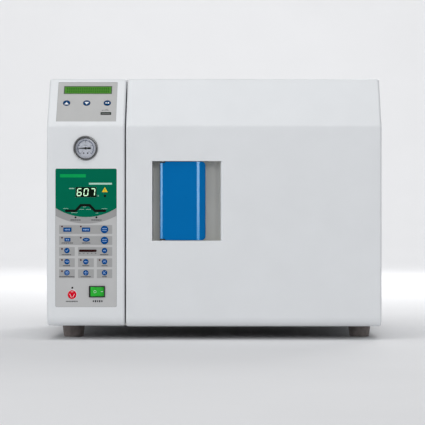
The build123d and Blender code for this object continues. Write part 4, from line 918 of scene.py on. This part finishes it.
# ---------------- gauge
GAUGE_FRONT_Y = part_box("gauge_case")[0].y
GAUGE_PROUD = (PANEL_LOW.y - GAUGE_FRONT_Y) / MM - 0.4
DIAL_DEPTH = 4.0                # dial face behind the tower's face
DIAL_PRINT = 0.17               # the print's height above the dial
TICK_START = math.radians(225)
TICK_SWEEP = math.radians(270)
TICKS = 40
SCALE_RADIUS = 15.4
NUMERAL_RADIUS = 9.8
BEZEL_PROFILE = (               # radius, and height from the bezel's front or from the tower's face
    (24.7, None), (24.7, -2.4), (24.5, -1.2), (24.2, -0.4), (23.8, 0.0), (23.5, -0.05), (23.2, -0.5),
    (23.1, -1.2), (23.1, None),
)
WALL_PROFILE = ((23.0, -0.3), (22.3, -0.55), (21.7, -0.95), (21.2, -1.7), (20.8, -2.8))
LENS_PROFILE = ((20.6, -2.6), (20.6, -2.1), (16.0, -1.5), (9.0, -1.15), (0.0, -1.0),
                (0.0, -1.5), (9.0, -1.65), (16.0, -2.0), (20.0, -2.6))
NEEDLE_OUTLINE = ((-16.6, -0.4), (-16.6, 0.4), (-2.6, 1.1), (3.4, 1.1), (4.6, 1.7), (10.6, 1.6),
                  (10.6, -1.6), (4.6, -1.7), (3.4, -1.1), (-2.6, -1.1))


def gauge_place(depth):
    """The gauge's axis, x right, y up, z out of the tower, from a depth behind its face."""
    centre = middle("gauge_glass")
    centre.y = GAUGE_FRONT_Y + (GAUGE_PROUD + depth) * MM
    return plane_matrix(centre, RIGHT, UP)


def around_dial(radius, part):
    """A point on the dial at a radius, a part of the way along its scale."""
    angle = TICK_START - TICK_SWEEP * part
    return radius * math.cos(angle), radius * math.sin(angle)


def make_gauge():
    """A rolled bezel, a printed dial, a tapered needle and a domed glass."""
    place, dial_place = gauge_place(0), gauge_place(DIAL_DEPTH)
    front = GAUGE_PROUD
    bezel = [(radius, 0.0 if drop is None else front + drop) for radius, drop in BEZEL_PROFILE]
    lathe("gauge_bezel", bezel, place, "chrome", "root", 96, closed=True)
    # the inner wall is near-black: painted shade on the bezel's inner slope; its gloss still catches the lamps
    wall = [(radius, front + drop) for radius, drop in WALL_PROFILE] + [(20.2, -3.9), (23.0, -3.9)]
    lathe("gauge_inner_wall", wall, place, "shade", "root", 96, closed=True)

    def on_dial(name, loops, finish, height=DIAL_PRINT, thickness=0.05):
        printed(name, dial_place, loops, finish, height, thickness)

    on_dial("gauge_dial", [circle(0, 0, 20.15, 96)], "dial", 0.02, 0.15)
    ticks, fine = [], []
    for index in range(TICKS + 1):
        major, medium = index % 10 == 0, index % 5 == 0
        inner, width = (12.4, 0.8) if major else (13.4, 0.55) if medium else (14.4, 0.3)
        spoke = [around_dial(radius, index / TICKS) for radius in (inner, SCALE_RADIUS)]
        (ticks if medium else fine).append(stroke(spoke, width))
    on_dial("gauge_ticks", ticks + fine, "ink")
    outer, inner = [[around_dial(radius, index / 60) for index in range(61)]
                    for radius in (SCALE_RADIUS + 1, SCALE_RADIUS)]
    on_dial("gauge_scale_arc", [outer + inner[::-1]], "ink_blue")
    for index in range(5):
        spot = around_dial(NUMERAL_RADIUS, index / 4)
        add_numeral(f"gauge_numeral_{index}", str(index), 3.6, spot, dial_place)
    dots = [circle(x, -9.8, 1.5, 16) for x in (-4.0, 4.0)]
    on_dial("gauge_dial_marks", greek(0, 6.0, 6.4, 1.2) + dots, "ink")
    pointer = printed("gauge_pointer", dial_place, [NEEDLE_OUTLINE], "ink_black", 1.2, 0.35, "needle")
    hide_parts("gauge_needle")
    lathe("gauge_pointer_hub", [(2.4, 0.9), (2.4, 1.7), (2.0, 2.0), (0.9, 2.15), (0.9, 0.9)],
          dial_place, "black", "needle", 32, closed=True)
    lathe("gauge_spindle", [(0.8, 0.1), (0.8, 2.3), (0.5, 2.5), (0.0, 2.5)], dial_place, "brass", "root",
          20)
    lens = lathe("gauge_lens", [(radius, front + drop) for radius, drop in LENS_PROFILE],
                 place, "glass", "root", 64, closed=True)
    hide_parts("gauge_glass")


def add_numeral(name, text, size, spot, place):
    """A small numeral, as a mesh, centred on a spot of a dial."""
    curve = bpy.data.curves.new(name, "FONT")
    curve.body = text
    curve.size = size * MM
    curve.align_x = "CENTER"
    curve.align_y = "CENTER"
    curve.extrude = 0.02 * MM
    mesh = mesh_of(curve)
    mesh.transform(place @ Matrix.Translation((spot[0] * MM, spot[1] * MM, 0.2 * MM)))
    tidy_mesh(mesh)
    add_piece(name, mesh, "ink", "root")


# ---------------- power switch
BUTTON_HALF = 13.6
BUTTON_TALL = 18.8
BUTTON_GAP = 0.8
BUTTON_EDGE, BUTTON_DIP = 4.2, 2.9      # the face's height at its two ends and in its middle
BUTTON_BACK = -3.6
BUTTON_TILT = math.radians(10)
WELL_DEPTH = 9.0


def make_rocker_surround():
    """The switch's dark surround: a cup behind the panel with a rounded flange on it."""
    x, y = on_panel(middle("rocker_bezel"))
    width, _, height = size_mm("rocker_bezel")
    proud = (PANEL_LOW.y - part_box("rocker_bezel")[0].y) / MM
    well_width, well_height = 2 * (BUTTON_HALF + BUTTON_GAP), BUTTON_TALL + BUTTON_GAP
    rings = []
    for level, grow in ((proud - WELL_DEPTH - 0.6, 0.5), (0.0, 0.5)):
        rings.append(at_level(rectangle(x, y, well_width + 2 * grow, well_height + 2 * grow, 0.8), level))
    for level, inset in ((0.0, 0.0), (proud - 0.6, 0.0), (proud - 0.15, 0.2), (proud, 0.6)):
        rings.append(at_level(rectangle(x, y, width - 2 * inset, height - 2 * inset, 1.6), level))
    for level, grow in ((proud - 0.1, 0.3), (proud - 0.5, 0.05), (proud - WELL_DEPTH, 0.0)):
        rings.append(at_level(rectangle(x, y, well_width + 2 * grow, well_height + 2 * grow, 0.8), level))
    mesh = ring_mesh("rocker_surround", rings)
    mesh.transform(PANEL)
    add_piece("rocker_surround", mesh, "rocker_frame", "root")


def make_rocker_button():
    """The green button with a ring and a bar moulded on it."""
    half, tall_half, edge = BUTTON_HALF, BUTTON_TALL / 2, BUTTON_EDGE
    ends = [(half, edge - 0.8), (half - 0.35, edge - 0.2), (half - 1.0, edge), (6.0, 3.4)]
    profile = [(-x, z) for x, z in ends] + [(0, BUTTON_DIP)] + ends[::-1]
    profile += [(half * 0.8, BUTTON_BACK), (-half * 0.8, BUTTON_BACK)]
    rings = []
    for level, inset in ((-tall_half, 0.5), (-tall_half + 0.15, 0.15), (-tall_half + 0.5, 0.0),
                         (tall_half - 0.5, 0.0), (tall_half - 0.15, 0.15), (tall_half, 0.5)):
        scale = 1 - inset / half
        rings.append([(x * scale, level, z - inset * (0.6 if z > 0 else 0)) for x, z in profile])
    mesh = ring_mesh("rocker_cap", rings)
    pivot = Vector(JOINTS["rocker_tilt"]["pos_m"])
    turn = Matrix.Rotation(BUTTON_TILT, 4, "Z")
    tilt = Matrix.Translation(pivot) @ turn @ plane_matrix(Vector(), RIGHT, UP)
    mesh.transform(tilt)
    cap = add_piece("rocker_cap", mesh, "rocker", "rocker")
    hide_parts("rocker_button")
    slope = math.atan2(edge - BUTTON_DIP, half - 1.0)
    for name, side, offset, loops in (
        ("rocker_off_mark", -1, -4.6, [circle(0, 0, 2.7, 28), circle(0, 0, 2.1, 28)]),
        ("rocker_on_mark", 1, 9.4, [rectangle(0, 0, 4.6, 0.8, 0.2)]),
    ):
        level = BUTTON_DIP + abs(offset) * math.tan(slope) + 0.03
        lift = Matrix.Translation(Vector((offset, 0, level)) * MM) @ Matrix.Rotation(-side * slope, 4, "Y")
        mesh = flat_mesh(name, loops, 0.0, 0.1)
        mesh.transform(tilt @ lift)
        add_piece(name, mesh, "ink_white", "rocker")


# ---------------- handle and feet
HANDLE_CORNER = 8.0             # how round the grip's two corners are
HANDLE_EDGE = 0.7               # how far its two ends are rolled in


def handle_section(barrel, right):
    """The lever's outline from above, about its pivot, with supports beside each flat facet's edges."""
    face, fold = -barrel + 1.9, right - 17.1
    section = []
    for step in range(9):
        angle = math.radians(90 + 118 * step / 8)
        section.append((barrel * math.cos(angle), barrel * math.sin(angle)))
    section += [(-4.9, -2.85), (-4.75, -2.894), (-1.15, -3.956), (-1.0, -4.0), (-0.4, face), (0.6, face)]
    section += [(fold + x, face + y) for x, y in (
        (-1.4, 0.0), (-0.4, -0.06), (0.2, -0.22), (0.35, -0.264), (4.75, -1.556), (4.9, -1.6))]
    section += [(fold + x, y - barrel) for x, y in ((5.5, 0.15), (6.2, 0.1), (7.0, 0.5), (10.2, 2.2))]
    section += [(right + x, y - barrel) for x, y in (
        (-2.6, 4.2), (-1.0, 5.6), (-0.3, 7.0), (0.0, 8.4), (-1.0, 10.4), (-2.6, 10.2))]
    return section + [(fold + 4.0, 8.4 - barrel), (fold - 2.0, 8.0 - barrel), (4.0, 8.0 - barrel)]


def make_handle():
    """The lever: a rolled hinge edge, a flat face, a fold line and a swept-back grip."""
    low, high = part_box("handle_lever")
    pivot = Vector(JOINTS["handle_pull"]["pos_m"])
    place = Matrix.Translation((pivot.x, pivot.y, low.z))
    barrel, right = (pivot.x - low.x) / MM, (high.x - pivot.x) / MM
    tall = size_mm("handle_lever")[2]
    levels = []
    for step in range(9):
        angle = math.pi / 2 * step / 8
        levels.append((HANDLE_CORNER * (1 - math.cos(angle)), HANDLE_CORNER * (1 - math.sin(angle))))
    levels += [(tall - height, inset) for height, inset in reversed(levels)]
    rings = []
    for height, inset in levels:
        ring = [(min(x, right - inset), y) for x, y in handle_section(barrel, right)]
        if height in (0, tall):
            ring = [(x, y * (1 - HANDLE_EDGE / 12) - HANDLE_EDGE * 0.1) for x, y in ring]
        rings.append(at_level(ring, height))
    mesh = ring_mesh("handle_body", rings)
    mesh.transform(place)
    handle = add_piece("handle_body", mesh, "handle", "handle", 40)
    # the facets that face front-left take the lighter, glossier blue: a painted highlight over their real gloss
    mesh.materials.append(FINISHES["handle_highlight"].material)
    for polygon in mesh.polygons:
        if polygon.normal.y < -0.9 and polygon.normal.x < -0.2:
            polygon.material_index = 1
    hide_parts("handle_lever")
    for name, z in (("handle_bush_low", 0.0), ("handle_bush_high", tall - 2.6)):
        lathe(name, [(3.0, z), (barrel + 0.1, z), (barrel + 0.1, z + 2.6), (3.0, z + 2.6)],
              place, "black", "handle", 40, closed=True)


FOOT_TOP, FOOT_LOW = 23.2, 20.2          # radii


def make_feet():
    """Tapered rubber feet with a rounded tread and a hole for the screw."""
    low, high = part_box("rubber_feet")
    tall = size_mm("rubber_feet")[2]
    profile = [(6.0, 6.0), (6.0, 1.2), (8.0, 0.2), (17.6, 0.0), (19.0, 0.4), (20.0, 1.5), (FOOT_LOW, 3.0),
               (FOOT_LOW + 0.7, 8.0), (FOOT_LOW + 1.8, 16.0), (FOOT_TOP - 0.3, tall - 3.0),
               (FOOT_TOP, tall - 1.0), (FOOT_TOP - 0.4, tall), (6.0, tall), (0.0, tall), (0.0, 6.0)]
    corners = [(x, y) for x in (low.x + FOOT_TOP * MM, high.x - FOOT_TOP * MM)
               for y in (low.y + FOOT_TOP * MM, high.y - FOOT_TOP * MM)]
    for index, (x, y) in enumerate(corners):
        place = Matrix.Translation((x, y, low.z))
        foot = lathe(f"foot_{index + 1}", profile, place, "rubber", "root", 64)
        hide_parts("rubber_feet")


# ---------------- inside the chamber
HOLE_COLUMNS, HOLE_ROWS, HOLE_PITCH, HOLE_RADIUS = 9, 17, 20, 4.2


def make_tray_piece(node):
    """A steel tray with a perforated floor, rounded walls and a rolled rim."""
    width, length, tall = size_mm(node)
    centre = middle(node)
    place = Matrix.Translation((centre.x, centre.y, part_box(node)[0].z))
    section = [(0, 3.4), (0.3, 2.4), (1.4, 1.6), (tall - 3, 1.3), (tall - 2.4, 0.4), (tall - 1.2, 0),
               (tall - 0.2, 0.5), (tall, 1.4), (tall - 0.6, 2.2), (tall - 1.6, 2.4), (1.6, 2.6), (1.0, 3.4)]
    rings = []
    for height, inset in section + section[:1]:
        outline = rectangle(0, 0, width - 2 * inset, length - 2 * inset, 10 - inset, 6)
        rings.append(at_level(outline, height))
    mesh = ring_mesh(f"{node}_wall", rings, False, False)
    mesh.transform(place)
    wall = add_piece(f"{node}_wall", mesh, "steel_x", BODY_OF[node])
    floor = [rectangle(0, 0, width - 6.2, length - 6.2, 7, 6)]
    for x, y in grid(HOLE_COLUMNS, HOLE_ROWS, HOLE_PITCH, HOLE_PITCH):
        floor.append(circle(x, y, HOLE_RADIUS, 14))
    plate = printed(f"{node}_floor", place, floor, "steel_x", 0.05, 0.9, BODY_OF[node])
    for piece in (wall, plate):
        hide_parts(node)


def rear_face(node):
    """The middle of a node's rear end, with z out of it."""
    centre = middle(node)
    centre.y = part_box(node)[1].y
    return facing_back(centre)


def make_gasket():
    """The door's silicone ring, with two sealing lips and a groove between them."""
    width, thick, _ = size_mm("door_gasket")
    outer = width / 2
    inner = outer - 8
    profile = [(inner, -thick), (inner, -1.4)]
    profile += [(inner + x, z) for x, z in (
        (0.8, -0.3), (2.2, 0), (3.5, -0.5), (4.1, -1.7), (4.8, -1.0), (6.2, -0.9), (7.4, -1.9))]
    profile += [(outer, -3.6), (outer, -thick)]
    ring = lathe("gasket_ring", profile, rear_face("door_gasket"), "silicone", "door", 128,
                 closed=True)
    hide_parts("door_gasket")


# ---------------- back and top
SPIGOT_INSET = 10.0             # from the fittings' sides to the spigots' axes
RIB_PITCH = 4.2


def make_hose_ribs():
    """Ridges on the two hose spigots at the back."""
    low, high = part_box("drain_fittings")
    profile = [(3.6, -0.05), (5.4, -0.05)]
    for step in range(4):
        start = -1.0 - step * RIB_PITCH
        profile += [(6.02, start), (6.6, start - 2.6), (6.6, start - 3.0), (6.0, start - 3.2)]
    profile += [(6.0, -18.4), (5.0, -18.4), (3.6, -18.4)]
    for index, x in enumerate((low.x + SPIGOT_INSET * MM, high.x - SPIGOT_INSET * MM)):
        place = facing_back(Vector((x, high.y, middle("drain_fittings").z)))
        lathe(f"hose_ribs_{index + 1}", profile, place, "brass", "root", 40, closed=True)


PIN_SPOTS = ((0, 2.0), (-7, -2.2), (7, -2.2))
INLET_SCREW_X = 20


def make_inlet_pins():
    """The three flat pins of the mains inlet, and its two countersunk screws."""
    place = rear_face("power_inlet")
    for index, (x, y) in enumerate(PIN_SPOTS):
        outline_prism(f"inlet_pin_{index + 1}", rectangle(x, y, 2.0, 4.6, 0.5), -21.5, -4.6, 0.5, place,
                      "brass", "root")
    for index, x in enumerate((-INLET_SCREW_X, INLET_SCREW_X)):
        lathe(f"inlet_screw_{index + 1}", [(0.4, 0.02), (2.4, 0.3), (3.4, 0.02), (3.4, -0.5), (0.4, -0.5)],
              place @ Matrix.Translation((x * MM, 0, 0)), "zinc", "root", 28, closed=True)


SCREW_REACH = 0.02              # a screw's points all lie this near each other, in metres
CROSS_ARM, CROSS_HALF, CROSS_TIP = 2.4, 0.45, 0.3375


def make_screw_heads():
    """A flat black cross on every screw of the cabinet: painted shade in place of a cut cross recess."""
    screws = []
    for vertex in frame["nodes"]["cabinet_screws"].data.vertices:
        for points in screws:
            if (points[0] - vertex.co).length < SCREW_REACH:
                points.append(vertex.co)
                break
        else:
            screws.append([vertex.co])
    arm, half, tip = CROSS_ARM, CROSS_HALF, CROSS_TIP
    quarter = [(half, half), (tip, arm), (-tip, arm)]
    cross = []
    for _ in range(4):
        cross += quarter
        quarter = [(-y, x) for x, y in quarter]
    loops = []
    for points in screws:
        x = (min(p.x for p in points) + max(p.x for p in points)) / 2
        z = (min(p.z for p in points) + max(p.z for p in points)) / 2
        loops.append([(-x / MM + px, z / MM + py) for px, py in cross])
    place = facing_back(Vector((0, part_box("cabinet_screws")[1].y, 0)))
    printed("screw_recess_shade", place, loops, "ink_black", -0.06, 0.08, "root")


# ---------------- stage, lights and camera
FLOOR_SIZE = 30.0
FLOOR_BACK_Y = 6.0              # where the floor starts to curve up
FLOOR_BEND = 3.0
PAPER = srgb(228, 228, 229)
CAMERA_DISTANCE = 4.4           # from the camera to the door's face
CAMERA_X = 0.0406
CAMERA_Z = 0.255
VIEW_WIDTH = 0.85               # what the picture spans at the door's face
VIEW_MIDDLE_X = -0.0034


def make_stage():
    """A pale floor that curves up into a backdrop."""
    profile = [(-FLOOR_SIZE / 2, 0)]
    for step in range(13):
        angle = math.pi / 2 * step / 12
        profile.append((FLOOR_BACK_Y + FLOOR_BEND * math.sin(angle), FLOOR_BEND * (1 - math.cos(angle))))
    profile.append((FLOOR_BACK_Y + FLOOR_BEND, FLOOR_SIZE / 2))
    mesh = bpy.data.meshes.new("stage")
    work = bmesh.new()
    sides = [[work.verts.new((x, y, z)) for y, z in profile] for x in (-FLOOR_SIZE, FLOOR_SIZE)]
    for index in range(len(profile) - 1):
        work.faces.new((sides[0][index], sides[1][index], sides[1][index + 1], sides[0][index + 1]))
    work.to_mesh(mesh)
    work.free()
    mesh.shade_smooth()
    paper = Finish("stage_paper", PAPER, 0.85)
    mottled(paper, PAPER, 400, 0.01)
    mesh.materials.append(paper.material)
    stage = bpy.data.objects.new("stage", mesh)
    scene.collection.objects.link(stage)


def add_light(name, spot, target, size, power):
    """A soft rectangular light that the camera doesn't see."""
    light = bpy.data.lights.new(name, "AREA")
    light.shape = "RECTANGLE"
    light.size, light.size_y = size
    light.energy = power
    item = bpy.data.objects.new(name, light)
    item.location = spot
    item.rotation_mode = "QUATERNION"
    item.rotation_quaternion = (Vector(target) - Vector(spot)).to_track_quat("-Z", "Y")
    item.visible_camera = False
    scene.collection.objects.link(item)


def make_lights():
    """Soft studio light from above and the sides, on the object and on the backdrop."""
    world = bpy.data.worlds.new("studio")
    world.use_nodes = True
    background = world.node_tree.nodes["Background"]
    background.inputs["Color"].default_value = (0.95, 0.97, 1.0, 1)
    background.inputs["Strength"].default_value = 0.40
    scene.world = world
    add_light("overhead", (-0.3, -0.9, 3.2), (0, -0.1, 0.2), (2.6, 2.2), 33)
    add_light("front_left", (-2.6, -3.6, 1.45), (0, -0.3, 0.5), (1.3, 2.6), 39)
    add_light("front", (0.4, -5.2, 1.6), (0, -0.3, 0.3), (1.4, 1.0), 28)
    add_light("right", (2.6, -1.7, 0.42), (0, -0.3, 0.38), (0.35, 0.9), 4)
    add_light("rear_fill", (1.2, 3.6, 2.4), (0, 0.2, 0.3), (1.8, 1.8), 46)
    add_light("backdrop", (0, 2.6, 5.0), (0, 9.0, 1.0), (6.0, 1.5), 300)


def make_camera():
    """A long lens, level with the middle of the door."""
    camera = bpy.data.cameras.new("camera")
    camera.sensor_width = 36.0
    camera.lens = camera.sensor_width * CAMERA_DISTANCE / VIEW_WIDTH
    camera.shift_x = (VIEW_MIDDLE_X - CAMERA_X) / VIEW_WIDTH
    camera.clip_end = 60
    item = bpy.data.objects.new("camera", camera)
    item.location = (CAMERA_X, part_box("door_cover")[0].y - CAMERA_DISTANCE, CAMERA_Z)
    item.rotation_euler = (math.pi / 2, 0, 0)
    scene.collection.objects.link(item)
    scene.camera = item
    scene.view_settings.view_transform = "Standard"


make_camera()
make_stage()
make_lights()
make_panel_print()
make_panel_edge()
make_process_curve()
make_readout()
make_lamps()
make_marks()
make_keys()
make_lcd()
make_usb_port()
make_head_edge()
make_gauge()
make_rocker_surround()
make_rocker_button()
make_handle()
make_feet()
make_tray_piece("lower_tray")
make_tray_piece("upper_tray")
make_gasket()
make_hose_ribs()
make_inlet_pins()
make_screw_heads()
